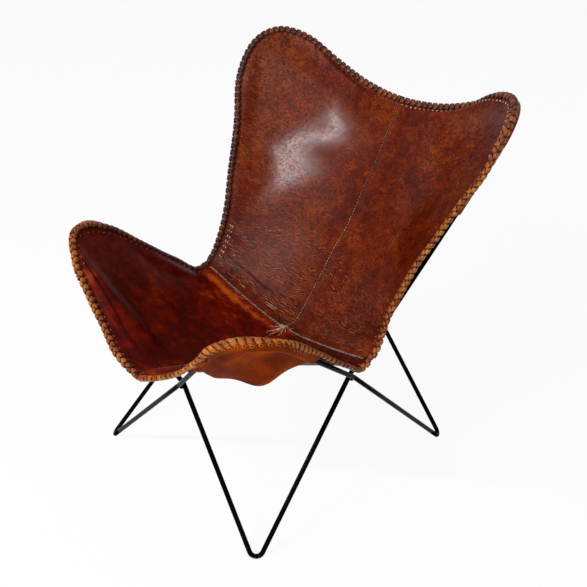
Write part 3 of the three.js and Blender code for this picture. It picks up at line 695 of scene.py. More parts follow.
def seamPoint(rib):
    rib = np.asarray(rib, float)
    seam = ribAt(rib)[0]
    isBack = (rib >= 0)[..., None]
    offBack, offSeat = (edgePoint(np.array([end]))[0] - ribAt(np.array([end]))[0][0]
                        for end in (float(backRibs), -float(seatRibs)))
    near = (np.abs(rib)[..., None] / np.where(isBack, backRibs, seatRibs)) ** 3
    return seam + np.where(isBack, offBack, offSeat) * near


def basePoint(u, rib):
    seam, edge, sagPower = seamPoint(rib), edgePoint(rib), ribAt(rib)[2]
    sag = np.abs(u) ** sagPower
    return np.stack([edge[..., 0] * u, seam[..., 1] + (edge[..., 1] - seam[..., 1]) * sag,
                     seam[..., 2] + (edge[..., 2] - seam[..., 2]) * sag], -1)


def baseNormal(u, rib):
    stepU, stepRib = 0.004, 0.02
    rib = np.clip(rib, -(seatRibs - 3 * stepRib), backRibs - 3 * stepRib)
    w = np.clip(u, -0.995, 0.995)
    across = basePoint(w + stepU, rib) - basePoint(w - stepU, rib)
    along = basePoint(w, rib + stepRib) - basePoint(w, rib - stepRib)
    return unit(np.cross(across, along))


lowestCrossing = min(place[2] for place in crossingPlace.values())
upperRuns = [(a, b - a) for path in rodPaths.values() for a, b in zip(path[:-1], path[1:])
             if max(a[2], b[2]) > lowestCrossing]


def rodsNear(points, normals):  # for each run of rod: distance beside each normal, and height along it
    for start, run in upperRuns:
        away = start - points
        high = dot(away, normals)
        flatAway = away - high[..., None] * normals
        rise = dot(normals, run)
        flatRun = run - rise[..., None] * normals
        t = np.clip(-dot(flatAway, flatRun) / np.maximum(dot(flatRun, flatRun), 1e-9), 0, 1)
        steep = smooth(0.65, 0.85, np.abs(rise) / np.linalg.norm(run))  # the leather passes beside such a rod
        yield np.linalg.norm(flatAway + flatRun * t[..., None], axis=-1) + 200 * steep, high + t * rise


def drapeOver(points, normals, clear=clearFace):
    reach = float(sling["drapeReach"])
    most = np.full(points.shape[:-1], -reach)
    for aside, high in rodsNear(points, normals):
        lift = high + clear - aside**2 / (2 * sling["drapeSpread"])
        most = np.maximum(most, np.where((aside < reach) & (np.abs(high) < reach), lift, -reach))
    return (most + np.sqrt(most**2 + sling["drapeBlend"] ** 2)) / 2


def drapeUnder(points, normals):
    least = np.zeros(points.shape[:-1])
    for aside, high in rodsNear(points, normals):
        near = (aside < 3 * clearFace) & (np.abs(high) < 3 * clearFace)
        least = np.minimum(least, np.where(near, high - clearFace + aside**2 / (2 * clearFace), 0))
    return least


seamGap = np.linalg.norm(seamPoint(np.array([-1.0]))[0] - seamPoint(np.array([-1e-9]))[0])
ribLap = sling["lap"] / seamGap
ribRamp = ribLap * (1 + sling["ramp"] / sling["lap"])


# Smooth random fields for the creases that are deep enough to be shape

def makeField(seed, cells=64):  # gradient noise, from about -1 to 1
    rng = np.random.default_rng(seed)
    angles = rng.uniform(0, 2 * math.pi, (cells, cells))
    gradient = np.stack([np.cos(angles), np.sin(angles)], -1)

    def field(x, y):
        ix, iy = np.floor(x).astype(int), np.floor(y).astype(int)
        fx, fy = x - ix, y - iy
        total = []
        for dx in (0, 1):
            for dy in (0, 1):
                g = gradient[(ix + dx) % cells, (iy + dy) % cells]
                total.append(g[..., 0] * (fx - dx) + g[..., 1] * (fy - dy))
        u, v = fx**3 * (fx * (6 * fx - 15) + 10), fy**3 * (fy * (6 * fy - 15) + 10)
        low = total[0] * (1 - u) + total[2] * u
        high = total[1] * (1 - u) + total[3] * u
        return (low * (1 - v) + high * v) * 1.5
    return field


fieldA, fieldB, fieldC, fieldD = (makeField(seed) for seed in (11, 23, 37, 53))

creases = {
    "spacing": 5.3, "fineSpacing": 4.6, "depth": 0.5, "fineDepth": 0.008, "waveDepth": 0.6, "wander": 12.0,
    "slopeRight": 0.5, "slopeLeft": 0.1,  # how steeply the creases run down towards the notch on each side
}


# The creases: ridges and hollows from 0 to 1, and a fine ripple; the hollows set only painted shade, and the
# ridges both shape and a painted highlight. Each noise is as large as the millimetres that its place is
# divided by.
def creaseHeight(across, up, width, amount, seed):
    share = np.clip(np.abs(across) / np.maximum(width, 1), 0, 1)
    slope = np.where(across > 0, creases["slopeRight"], creases["slopeLeft"])
    flow = up + slope * np.abs(across) * smooth(10, 170, up) * (1 + 0.8 * share)
    s, t = across + 400 * seed, flow + 130 * seed
    bend = fieldA(s / 75, t / 60) * creases["wander"] + fieldB(s / 26, t / 22) * creases["wander"] * 0.3
    phase = 2 * math.pi * (t + bend) / creases["spacing"] + 4.0 * fieldC(s / 13, t / 12)
    bundles = smooth(-0.8, 0.2, fieldD(s / 50, t / 28))
    bundles = bundles * (0.4 + 0.6 * smooth(-0.35, 0.3, fieldA(s / 16, t / 8)))
    deep = amount * bundles * (0.5 + 0.5 * np.cos(phase)) ** 3.5
    hollowShade = amount * bundles * (0.5 - 0.5 * np.cos(phase)) ** 2.5
    turned = (s * 0.5 + t) + fieldC(s / 33, t / 33) * 14
    fine = np.cos(2 * math.pi * turned / creases["fineSpacing"] + 3 * fieldB(s / 11, t / 11))
    return deep, hollowShade, fine * smooth(-0.2, 0.4, fieldC(s / 40 + 9, t / 40))


grooves = {  # single creases: points across and up each panel, depth and half width
    (True, False): [
        (((-262, 56), (-216, 54.5), (-169, 56), (-127, 53), (-87, 56), (-49, 66), (-20, 70)), 1.0, 2.2),
        (((-241, 472), (-215, 486), (-190, 492), (-168, 493)), -0.12, 1.6)],
    (True, True): [(((158, 525), (260, 521), (355, 505)), 0.5, 1.8), (((17, 40), (17, 560)), 0.3, 2.2)],
    (False, True): [], (False, False): [],
}


def grooveDepth(key, across, up):
    total = np.zeros(np.broadcast(across, up).shape)
    for points, depth, halfWidth in grooves[key]:
        nearest = np.full(total.shape, 1e3)
        for (x0, y0), (x1, y1) in zip(points[:-1], points[1:]):
            dx, dy = x1 - x0, y1 - y0
            t = np.clip(((across - x0) * dx + (up - y0) * dy) / (dx**2 + dy**2), 0, 1)
            nearest = np.minimum(nearest, np.hypot(across - x0 - t * dx, up - y0 - t * dy))
        total += depth * np.exp(-(nearest / halfWidth) ** 2)
    return total


panelMesh = {"backRows": 345, "seatRows": 210, "columns": 104, "lapColumns": 7, "rampColumns": 8,
             "tuckColumns": 4, "evenShare": 0.35, "lowShare": 0.75, "lowRun": 150}


def seamRun(isBack):  # ribs of the back or the seat, and how far along the centre seam each one starts
    ribs = np.linspace(0, backRibs if isBack else seatRibs, 3001)
    ribs[0] = 1e-9
    points = seamPoint(ribs if isBack else -ribs)
    return ribs, np.concatenate([[0], np.cumsum(np.linalg.norm(np.diff(points, axis=0), axis=1))])


def panelRows(isBack):
    ribs, run = seamRun(isBack)
    stations = ribAt(ribs if isBack else -ribs)[1]
    rim = np.abs(stations - stations[0]) / abs(stations[-1] - stations[0])
    lowest = 1 - np.exp(-run / panelMesh["lowRun"])
    even, low = panelMesh["evenShare"], panelMesh["lowShare"] * (1 - panelMesh["evenShare"])
    pace = even * run / run[-1] + (1 - even - low) * rim + low * lowest / lowest[-1]
    count = panelMesh["backRows"] if isBack else panelMesh["seatRows"]
    rows = np.interp(np.linspace(0, 1, count + 1), pace, ribs)
    return (rows if isBack else -rows), np.interp(rows, ribs, run)


def panelColumns(isRight):
    edgeCount, lapCount, rampCount = panelMesh["columns"], panelMesh["lapColumns"], panelMesh["rampColumns"]
    lap, end = sling["lap"], sling["lap"] + sling["ramp"]
    if isRight:
        near = np.concatenate([np.linspace(0, lap, lapCount), np.linspace(lap, end, rampCount)[1:]])
        return near, np.linspace(0, 1, edgeCount + 1)[1:]
    near = np.concatenate([np.linspace(-end, 0, rampCount), np.linspace(0, lap, lapCount)[1:]])
    return near, np.linspace(1, 0, edgeCount + 1)[:-1]


def panelGrid(isBack, isRight):
    rows, run = panelRows(isBack)
    if isBack:
        under = np.linspace(-ribLap, 0, 7)[:-1]
        rows, run = np.concatenate([under, rows]), np.concatenate([under * seamGap, run])
    ribs = np.where(rows == 0, 1e-9 if isBack else -1e-9, rows)
    width = np.maximum(edgePoint(ribs)[:, 0], sling["laceGap"])[:, None]
    near, far = panelColumns(isRight)
    end = sling["lap"] + sling["ramp"]
    nearShare = np.clip(near[None, :] / width, -1, 1)
    endShare = np.minimum(end / width, 1)
    if isRight:
        u = np.hstack([nearShare, endShare + (1 - endShare) * far[None, :]])
    else:
        u = np.hstack([-(endShare + (1 - endShare) * far[None, :]), nearShare])
    rib = np.broadcast_to(ribs[:, None], u.shape)
    across = u * width
    normal = baseNormal(u, rib)
    base = basePoint(u, rib)
    height = drapeOver(base, normal) + layersAt(isBack, isRight, across, rib) * layer
    point = base + normal * height[..., None]
    skive = 0 if isRight else smooth(0, sling["lap"], across)
    if isBack:
        skive = np.maximum(skive, smooth(0, ribLap, -rib))
    up = np.broadcast_to(run[:, None], u.shape)
    grid = {"u": u, "across": across, "up": up, "width": np.broadcast_to(width, u.shape), "point": point,
            "normal": normal, "skive": skive + 0 * u}
    return tucked(grid, ribs, 1 if isRight else -1)


def layersAt(isBack, isRight, across, rib):  # layers of leather under the middle of a panel
    end = sling["lap"] + sling["ramp"]
    if isRight:
        overCentre = 1 - smooth(-4, end, across)
    else:
        overCentre = smooth(-sling["ramp"], -0.2, across)
    if isBack:
        return overCentre if isRight else np.zeros_like(across)
    overCross = 1 - smooth(-0.3 * ribLap, ribRamp, -rib)
    return overCentre + overCross + overCentre * overCross if isRight else overCross * (1 + overCentre)


def tucked(grid, ribs, side):  # the edge of a panel runs on into the roll of the lacing
    count = panelMesh["tuckColumns"]
    edge = grid["point"][:, -1 if side > 0 else 0]
    point, _, inward, normal = rimFrame(ribs)
    middle = point + inward * sling["laceWidth"] / 2
    height = drapeOver(middle, normal, clearLace) - sling["tuckDrop"]
    inside = point + inward * sling["laceWidth"] * sling["tuckShare"] + normal * height[:, None]
    inside = inside * np.array([side, 1, 1])
    pace = np.arange(1, count + 1) / count
    shares = smooth(0, 1, pace)[None, :, None] * 0.5 + 0.5 * pace[None, :, None]
    strip = edge[:, None] + (inside - edge)[:, None] * shares
    out = {}
    for key, value in grid.items():
        last = value[:, -1:] if side > 0 else value[:, :1]
        more = strip if key == "point" else np.repeat(last, count, 1)
        out[key] = np.concatenate([value, more], 1) if side > 0 else np.concatenate([more[:, ::-1], value], 1)
    return out


def gridNormal(point, guide):
    across, along = np.gradient(point, axis=1), np.gradient(point, axis=0)
    found = np.cross(across, along)
    weak = np.linalg.norm(found, axis=-1) < 1e-3
    found = unit(found) * np.where(dot(found, guide) < 0, -1, 1)[..., None]
    return np.where(weak[..., None], guide, found)


def shellMesh(name, topPoints, bottomPoints, attributes, uv):
    rows, columns = topPoints.shape[:2]
    count = rows * columns
    index = np.arange(count).reshape(rows, columns)
    quads = np.stack([index[:-1, :-1], index[:-1, 1:], index[1:, 1:], index[1:, :-1]], -1).reshape(-1, 4)
    rim = np.concatenate([index[0, :], index[1:, -1], index[-1, -2::-1], index[-2:0:-1, 0]])
    after = np.roll(rim, -1)
    wall = np.stack([after, rim, rim + count, after + count], -1)
    faces = np.concatenate([quads, quads[:, ::-1] + count, wall])
    points = np.concatenate([topPoints.reshape(-1, 3), bottomPoints.reshape(-1, 3)]) + shift
    both = {key: np.concatenate([value.ravel(), value.ravel()]) for key, value in attributes.items()}
    flat = np.concatenate([uv.reshape(-1, 2), uv.reshape(-1, 2) + 700])
    return tidyMesh(meshObject(name, points, faces, both, flat * mm), 0.01)


# Wear, tone and gloss of the face leather, with the painted sheen on the ears and painted shade beside the
# cross seam.
wearAndPaintedLight = {  # by (isBack, isRight) or isBack, with places in millimetres across and up each panel
    "creaseEnds": {True: (340, 110), False: (90, 10)}, "seatCreaseShare": 0.6,
    "earAcross": (0.55, 0.95), "earUp": {True: (250, 480), False: (120, 260)},
    "earTone": {(True, True): 0.0, (True, False): 0.3, (False, True): 0.12, (False, False): 0.15},
    # painted sheen: how much greyish plum is mixed into the ears on each side
    "earPaintedSheen": {True: 0.55, False: 0.25},
    "tone": {True: 0.05, False: -0.3}, "toneStep": {True: -0.12, False: 0.25},
    "toneUp": {True: (260, 60), False: (80, 0)},
    "bandTone": 0.62, "bandUp": 24, "bandHalf": 9, "bandAcross": (30, -60),
    "polishedFrom": (133, 475), "polishedAcross": (0.813, 0.583),
    "polishedAbove": (14, 60), "polishedBelow": (-45, -105),
    # painted shade on the seat beside the cross seam: its strength, and its spans across and up
    "seamShadeDepth": 0.8, "seamShadeAcross": (15, 50), "seamShadeUp": (140, 60),
}


def creaseAmount(isBack, u, up):
    amount = smooth(*wearAndPaintedLight["creaseEnds"][isBack], up)
    if isBack:
        return amount * smooth(0, 14, up) * (1 - 0.3 * smooth(0.9, 1, np.abs(u)))
    return wearAndPaintedLight["seatCreaseShare"] * amount


def colourTone(isBack, isRight, ear, across, up, inset):  # how warm the colour is, above or below the middle
    tone = wearAndPaintedLight["tone"][isBack] + wearAndPaintedLight["toneStep"][isBack] * smooth(*wearAndPaintedLight["toneUp"][isBack], up)
    tone = tone + wearAndPaintedLight["earTone"][isBack, isRight] * ear
    if isBack:
        return tone
    band = np.exp(-((up - wearAndPaintedLight["bandUp"]) / wearAndPaintedLight["bandHalf"]) ** 2)  # pale beside the cross seam
    return tone + wearAndPaintedLight["bandTone"] * band * smooth(*wearAndPaintedLight["bandAcross"], across) * smooth(0, 25, inset)


def dryness(isBack, across, up, inset):  # 0 where the wax is polished, up to 1 where it is dull
    dry = smooth(16, 5, inset)
    if not isBack:
        return dry
    fromAcross, fromUp = wearAndPaintedLight["polishedFrom"]
    shareAcross, shareUp = wearAndPaintedLight["polishedAcross"]  # a unit step over the band, which runs up towards each ear
    polished = shareAcross * (np.abs(across) - fromAcross) + shareUp * (up - fromUp)
    below = smooth(*wearAndPaintedLight["polishedBelow"], polished) * (0.75 + 0.25 * smooth(150, 260, up))
    return np.maximum(dry, np.maximum(smooth(*wearAndPaintedLight["polishedAbove"], polished), below))


def makePanel(isBack, isRight):
    name = f"panel_{'back' if isBack else 'seat'}_{'right' if isRight else 'left'}"
    grid = panelGrid(isBack, isRight)
    u, across, up, width = grid["u"], grid["across"], grid["up"], grid["width"]
    inset = width - np.abs(across)
    seed = 3 * isRight + 5 * isBack
    deep, hollowShade, fine = creaseHeight(across, up, width, creaseAmount(isBack, u, up), seed)
    edgeFade = smooth(0, 6, np.minimum(across if isRight else sling["lap"] - across, inset))
    wave = fieldA(across / 160 + seed, up / 120) * creases["waveDepth"] * smooth(0, 40, inset)
    groove = grooveDepth((isBack, isRight), across, up)
    lift = edgeFade * (deep * creases["depth"] + fine * creases["fineDepth"]) + wave - groove
    normal = gridNormal(grid["point"], grid["normal"])
    half = sling["thickness"] / 2
    top = grid["point"] + normal * (half - sling["skive"] * grid["skive"] + lift)[..., None]
    bottom = grid["point"] - normal * (half - wave - 0.3 * edgeFade * deep * creases["depth"])[..., None]
    ear = smooth(*wearAndPaintedLight["earAcross"], np.abs(u)) * smooth(*wearAndPaintedLight["earUp"][isBack], up)
    # Painted shade: the crease hollows and the grooves, darkening the face's colour through its attribute.
    dark = np.maximum(edgeFade * hollowShade, groove)
    if isRight and not isBack:  # painted shade on the seat beside the cross seam
        beside = wearAndPaintedLight["seamShadeDepth"] * smooth(*wearAndPaintedLight["seamShadeAcross"], across) * smooth(*wearAndPaintedLight["seamShadeUp"], up)
        dark = np.maximum(dark, beside)
    # Painted light carried to the shader: a highlight on the crease crests, shade in the hollows, grooves and
    # beside the cross seam, and a greyish sheen on the ears.
    attributes = {"ridgeHighlight": edgeFade * deep, "paintedShade": dark, "paintedSheen": wearAndPaintedLight["earPaintedSheen"][isRight] * ear,
                  "tone": colourTone(isBack, isRight, ear, across, up, inset),
                  "dry": dryness(isBack, across, up, inset)}
    uv = np.stack([across + 400 * seed, up + 900 * seed], -1)
    piece = shellMesh(name + "_leather", top, bottom, attributes, uv)
    finishPiece(piece, [name], faceLeather[isBack])
    return top, normal, grid


panels = {(isBack, isRight): makePanel(isBack, isRight)
          for isBack in (True, False) for isRight in (True, False)}
print("panels made")


# Pockets under the ears

pockets = {
    "back": {"ribs": (5.0, 9.9), "depth": 0.5, "slack": 12, "belly": 6},
    "front": {"ribs": (2.45, 7.1), "depth": 0.42, "slack": 20, "belly": 28},
    "bellyMiddle": 0.2, "bellySpread": 0.11, "tab": 16, "gap": 0.3, "steps": 150, "columns": 64,
    "edgeColumns": 16, "edgeInset": 3.0, "edgeDrop": 2.5, "rippleDepth": 1.2, "smoothings": 30,
}
pocketOuter = {}  # the skin of each pocket from its edge down, on which the lacing lies


def rodUnderRim(point, tangent, inward, normal):  # where the nearest rod crosses the rim's own section
    best = (1e3, 0.0)
    for start, run in upperRuns:
        rise = run @ tangent
        f = ((point - start) @ tangent) / rise if abs(rise) > 1e-9 else -1
        if 0 <= f <= 1:
            away = start + f * run - point
            x, h = away @ inward, away @ normal
            if abs(h) < 30 and abs(x) < abs(best[0]):
                best = (x, h)
    return best


def pocketEdge(ribs, side, inner):  # the pocket's edge, from inside the lacing round the rod
    count = pockets["edgeColumns"]
    point, tangent, inward, normal = rimFrame(ribs)
    lift = drapeOver(point + inward * sling["laceWidth"] / 2, normal, clearLace)
    flip = np.array([side, 1, 1])
    rows = []
    for i in range(len(ribs)):
        rodX, rodH = rodUnderRim(point[i], tangent[i], inward[i], normal[i])
        last = inner[i] * flip - point[i]
        lastX, lastH = last @ inward[i], last @ normal[i]
        firstX = min(pockets["edgeInset"], rodX - clearFace - pockets["gap"])
        firstH = lift[i] - pockets["edgeDrop"]
        x = firstX + (lastX - firstX) * (np.arange(count) / count) ** 1.5
        h = firstH + (lastH - firstH) * ((x - firstX) / (lastX - firstX)) ** 0.7
        beside = np.clip(np.abs(x - rodX), 0, clearFace)
        below = rodH - np.where(x < rodX, np.sqrt(clearFace**2 - beside**2),
                                clearFace - np.minimum(np.abs(x - rodX), 30) ** 2 / (2 * clearFace))
        inside = (x > rodX - clearFace) & (x < rodX + 3 * clearFace)
        h = np.where(inside, np.minimum(h, below), h)
        rows.append(point[i] + np.outer(x, inward[i]) + np.outer(h, normal[i]))
    return np.array(rows) * flip, np.repeat((normal * flip)[:, None], count, 1)


def makePocket(isBack, isRight):
    name = f"pocket_{'back' if isBack else 'front'}_{'right' if isRight else 'left'}"
    setup = pockets["back" if isBack else "front"]
    start, end = setup["ribs"]
    side = 1 if isRight else -1
    a = np.linspace(0, 1, pockets["steps"] + 1)[:, None]
    b = np.linspace(0, 1, pockets["columns"] + 1)[None, :] ** 1.15
    rib = (1 if isBack else -1) * (start + (end - start) * a)
    spoke = np.linalg.norm(edgePoint(rib[:, 0]) - seamPoint(rib[:, 0]), axis=1)[:, None]
    tab = pockets["tab"] / spoke
    bow = 1 - (2 * a - 1) ** 2
    bulge = np.exp(-((a - pockets["bellyMiddle"]) / pockets["bellySpread"]) ** 2)
    depth = tab + (setup["depth"] - tab) * bow
    u = side * (1 - depth * b)
    rib = np.broadcast_to(rib, u.shape)
    normal = baseNormal(u, rib)
    base = basePoint(u, rib)
    hang = (setup["slack"] * np.sqrt(bow) + setup["belly"] * bulge) * smooth(0, 1, b)
    over = drapeOver(base, normal) - sling["thickness"] - pockets["gap"] - hang
    point = base + normal * np.minimum(over, drapeUnder(base, normal))[..., None]
    s, t = u * spoke, a * 300 + 0 * u
    ripple = fieldB(s / 90 + 7, t / 60) * pockets["rippleDepth"]
    ripple = ripple * smooth(0, 0.2, b) * smooth(0, 0.1, a) * smooth(1, 0.9, a)
    point = point + normal * np.minimum(ripple, 0)[..., None]
    edge, edgeNormal = pocketEdge(rib[:, 0], side, point[:, 0])
    point, normal = np.concatenate([edge, point], 1), np.concatenate([edgeNormal, normal], 1)
    join = pockets["edgeColumns"]
    for _ in range(pockets["smoothings"]):
        middle = (point[:, join - 3:join + 9] + point[:, join - 1:join + 11]) / 2
        point[:, join - 2:join + 10] += 0.5 * (middle - point[:, join - 2:join + 10])
    uv = np.stack([np.pad(v, ((0, 0), (join, 0)), "edge") for v in (s, t)], -1)
    across = unit(np.cross(np.gradient(point, axis=1), np.gradient(point, axis=0)))
    turned = dot(across, normal)[:, [join + 14]] < 0
    guide = across * np.where(turned, -1, 1)[..., None]  # one way all along each row
    half = sling["thickness"] / 2
    outer = point - guide * half
    piece = shellMesh(name + "_leather", point + guide * half, outer, {}, uv)
    finishPiece(piece, [name], pocketLeather)
    pocketOuter[isBack, isRight] = outer[:, :join + 18]


for isBack in (True, False):
    for isRight in (True, False):
        makePocket(isBack, isRight)
print("pockets made")


# Geometry Nodes: a small shape repeated along a path, and flat ribbons swept along short tracks

def newTree(name, sockets):  # its tracks come first as geometry, and its material last
    tree = bpy.data.node_groups.new(name, "GeometryNodeTree")
    for key, kind in (("Geometry", "Geometry"), *sockets, ("Material", "Material")):
        tree.interface.new_socket(key, in_out="INPUT", socket_type="NodeSocket" + kind)
    tree.interface.new_socket("Geometry", in_out="OUTPUT", socket_type="NodeSocketGeometry")
    given = addNode(tree, "NodeGroupInput").outputs
    return tree, given, addNode(tree, "GeometryNodeMeshToCurve", None, {"Mesh": given["Geometry"]})


def endTree(tree, given, geometry):
    real = addNode(tree, "GeometryNodeRealizeInstances", None, {"Geometry": geometry})
    smoothed = addNode(tree, "GeometryNodeSetShadeSmooth", None, {"Geometry": real})
    painted = addNode(tree, "GeometryNodeSetMaterial", None,
                      {"Geometry": smoothed, "Material": given["Material"]})
    addNode(tree, "NodeGroupOutput", None, {"Geometry": painted})
    return tree


def repeatTree(name, seed):
    tree, given, curve = newTree(name, [("Shape", "Object"), ("Pitch", "Float"), ("Turn Jitter", "Float"),
                                        ("Size Jitter", "Float")])
    spaced = addNode(tree, "GeometryNodeResampleCurve", {"mode": "LENGTH"},
                     {"Curve": curve, "Length": given["Pitch"]})
    shape = addNode(tree, "GeometryNodeObjectInfo", None, {"Object": given["Shape"]})
    along, outward = (addNode(tree, "GeometryNodeInputNamedAttribute", {"data_type": "FLOAT_VECTOR"},
                              {"Name": key}).outputs["Attribute"] for key in ("along", "outward"))
    turn = addNode(tree, "FunctionNodeAxesToRotation", {"primary_axis": "Z", "secondary_axis": "X"},
                   {"Primary Axis": outward, "Secondary Axis": along})
    back = addNode(tree, "ShaderNodeMath", {"operation": "MULTIPLY"}, (given["Turn Jitter"], -1.0))
    jitter = addNode(tree, "FunctionNodeRandomValue", {"data_type": "FLOAT"},
                     {2: back, 3: given["Turn Jitter"], "Seed": seed})
    twist = addNode(tree, "FunctionNodeAxisAngleToRotation", None,
                    {"Axis": (0, 0, 1), "Angle": jitter.outputs[1]})
    turned = addNode(tree, "FunctionNodeRotateRotation", {"rotation_space": "LOCAL"},
                     {"Rotation": turn, "Rotate By": twist})
    small = addNode(tree, "ShaderNodeMath", {"operation": "SUBTRACT"}, (1.0, given["Size Jitter"]))
    large = addNode(tree, "ShaderNodeMath", {"operation": "ADD"}, (1.0, given["Size Jitter"]))
    swell = addNode(tree, "FunctionNodeRandomValue", {"data_type": "FLOAT"},
                    {2: small, 3: large, "Seed": seed + 1})
    repeated = addNode(tree, "GeometryNodeInstanceOnPoints", None,
                       {"Points": spaced, "Instance": shape.outputs["Geometry"], "Rotation": turned,
                        "Scale": swell.outputs[1]})
    return endTree(tree, given, repeated)


def ribbonTree(name):
    tree, given, curve = newTree(name, [("Width", "Float"), ("Thickness", "Float"), ("Sides", "Int")])
    outward, swell = (addNode(tree, "GeometryNodeInputNamedAttribute", {"data_type": kind},
                              {"Name": key}).outputs["Attribute"]
                      for key, kind in (("outward", "FLOAT_VECTOR"), ("swell", "FLOAT")))
    turned = addNode(tree, "GeometryNodeSetCurveNormal", {"mode": "FREE"},
                     {"Curve": curve, "Normal": outward})
    high, wide = (addNode(tree, "ShaderNodeMath", {"operation": "MULTIPLY"}, (given[key], 0.5))
                  for key in ("Thickness", "Width"))
    size = addNode(tree, "ShaderNodeCombineXYZ", None, {"X": high, "Y": wide, "Z": 1.0})
    circle = addNode(tree, "GeometryNodeCurvePrimitiveCircle", None,
                     {"Resolution": given["Sides"], "Radius": 1.0})
    section = addNode(tree, "GeometryNodeTransform", None, {"Geometry": circle, "Scale": size})
    swept = addNode(tree, "GeometryNodeCurveToMesh", None,
                    {"Curve": turned, "Profile Curve": section, "Scale": swell, "Fill Caps": True})
    return endTree(tree, given, swept)


def grown(name, tracks, tree, values):  # tracks of points with attributes, grown by the tree to a plain mesh
    mesh = bpy.data.meshes.new(name)
    firsts = np.concatenate([[0], np.cumsum([len(track["points"]) for track in tracks])])
    edges = [(int(a) + i, int(a) + i + 1) for a, b in zip(firsts[:-1], firsts[1:]) for i in range(b - a - 1)]
    mesh.from_pydata((np.concatenate([track["points"] for track in tracks]) * mm).tolist(), edges, [])
    for key in tracks[0]:
        if key != "points":
            data = np.concatenate([np.asarray(track[key], float) for track in tracks])
            kind, field = ("FLOAT_VECTOR", "vector") if data.ndim == 2 else ("FLOAT", "value")
            mesh.attributes.new(key, kind, "POINT").data.foreach_set(field, data.astype(np.float32).ravel())
    carrier = placed(name + "_tracks", mesh)
    modifier = carrier.modifiers.new("grow", "NODES")
    modifier.node_group = tree
    for socket in tree.interface.items_tree:
        if socket.in_out == "INPUT" and socket.name in values:
            modifier[socket.identifier] = values[socket.name]
    bpy.context.view_layer.update()
    plain = bpy.data.meshes.new_from_object(carrier.evaluated_get(bpy.context.evaluated_depsgraph_get()))
    carrier.modifiers.remove(modifier)
    bpy.data.objects.remove(carrier)
    return tidyMesh(placed(name, plain))


def ribbons(name, tracks, material, width, thickness, sides):
    return grown(name, tracks, ribbonTree(name),
                 {"Width": width * mm, "Thickness": thickness * mm, "Sides": sides, "Material": material})


def joined(name, objects):
    work = bmesh.new()
    mesh = bpy.data.meshes.new(name)
    for each in objects:
        first = len(work.faces)
        work.from_mesh(each.data)
        work.faces.ensure_lookup_table()
        for f in work.faces[first:]:
            f.material_index = len(mesh.materials)
        mesh.materials.append(each.data.materials[-1])
        bpy.data.objects.remove(each)
    work.to_mesh(mesh)
    work.free()
    return placed(name, mesh)


# Laced edge: a thong whipped over a rolled edge, in two rows of slanting bars that meet on the crest

lace = {
    "pitch": 15.3, "barWidth": 11.4, "barThickness": 3.6, "lean": 7.5, "coreShare": 0.72, "coreSides": 14,
    "faceReach": 18.0, "spine": 5.5, "overlap": 2.0, "sink": 1.1, "outsideReach": 13.0, "firstRib": 0.02,
    "sectionStep": 1.0, "sectionReach": (-24, 20.5), "pocketReach": 40, "sides": 8,
    "barRise": (-0.4, 0.1, 0.22, 0.28, 0.28, 0.22, 0.1, -0.4),
    "barSwell": (0.55, 0.85, 0.97, 1, 1, 0.97, 0.85, 0.55),
    # painted shade at each bar's ends, and over the roll
    "barShade": (0.5, 0.1, 0, 0, 0, 0, 0.1, 0.5), "coreShade": 0.55,
    "bareOutside": 0.22, "bareJitter": 0.16,
    "bare": {  # how pale the thong is, by the rim's stations from the top's middle to the front's
        1: ((0, 0.22), (4.3, 0.22), (4.8, 0.5), (8, 0.55), (10.5, 0.6), (11, 0.4), (12, 0.4), (13, 0.55),
            (18, 0.62), (19, 0.5), (21, 0.5)),
        -1: ((0, 0.2), (4.3, 0.18), (4.8, 0.05), (10.5, 0.02), (11, 0.12), (14, 0.15), (15, 0.4), (16, 0.55),
             (21, 0.55)),
    },
    "holes": {  # punched through the pocket beside each bar: each a dark disc of painted shade, with a pale rim round it that is partly bare tan and partly a painted highlight
        "hole_rims": {"width": 7.4, "reach": 3.6, "high": 0.0, "bare": 1.0},
        "holes": {"width": 5.0, "reach": 2.4, "high": 0.6, "bare": 0.0},
    },
    "holeThickness": 0.8, "holeSides": 6,
}


def rollSection():  # from the crest of the roll over its face side: length run, place inward, height
    turn = np.linspace(0, math.pi, 361)
    x, h = -np.cos(turn) * sling["laceWidth"] / 2, np.sin(turn) * sling["laceThickness"] / 2
    return np.concatenate([[0], np.cumsum(np.hypot(np.diff(x), np.diff(h)))]), x, h


def rimSurface(direction, side):  # the laced edge's surface: rows along the rim, columns round its section
    ribs = np.linspace(lace["firstRib"], backRibs if direction > 0 else seatRibs, 1200) * direction
    point = rimFrame(ribs)[0]
    length = np.concatenate([[0], np.cumsum(np.linalg.norm(np.diff(point, axis=0), axis=1))])
    ribs = np.interp(np.arange(0, length[-1], lace["sectionStep"]), length, ribs)
    point, _, inward, normal = rimFrame(ribs)
    centre = point + inward * sling["laceWidth"] / 2
    centre = centre + normal * drapeOver(centre, normal, clearLace)[:, None]
    flip = np.array([side, 1, 1])
    w = np.arange(*lace["sectionReach"], lace["sectionStep"])
    run, x, h = rollSection()
    x, h = np.interp(np.abs(w), run, x), np.interp(np.abs(w), run, h) * np.sign(w)
    rim = {"ribs": ribs, "w": w, "centre": centre * flip, "normal": normal * flip, "inward": inward * flip,
           "stations": ribAt(ribs)[1]}
    centre = rim["centre"][:, None]
    surface = centre + rim["inward"][:, None] * x[None, :, None] + rim["normal"][:, None] * h[None, :, None]
    rim["pocket"] = layOnPocket(surface, rim, direction > 0, side > 0)
    guide = gridNormal(surface, surface - centre)
    across = np.cross(np.gradient(surface, axis=1), np.gradient(surface, axis=0))
    onFace = int(np.searchsorted(w, 5))
    sign = np.where(dot(across[:, onFace], guide[:, onFace]) < 0, -1.0, 1.0)
    return rim | {"surface": surface, "outward": unit(across) * sign[:, None, None]}


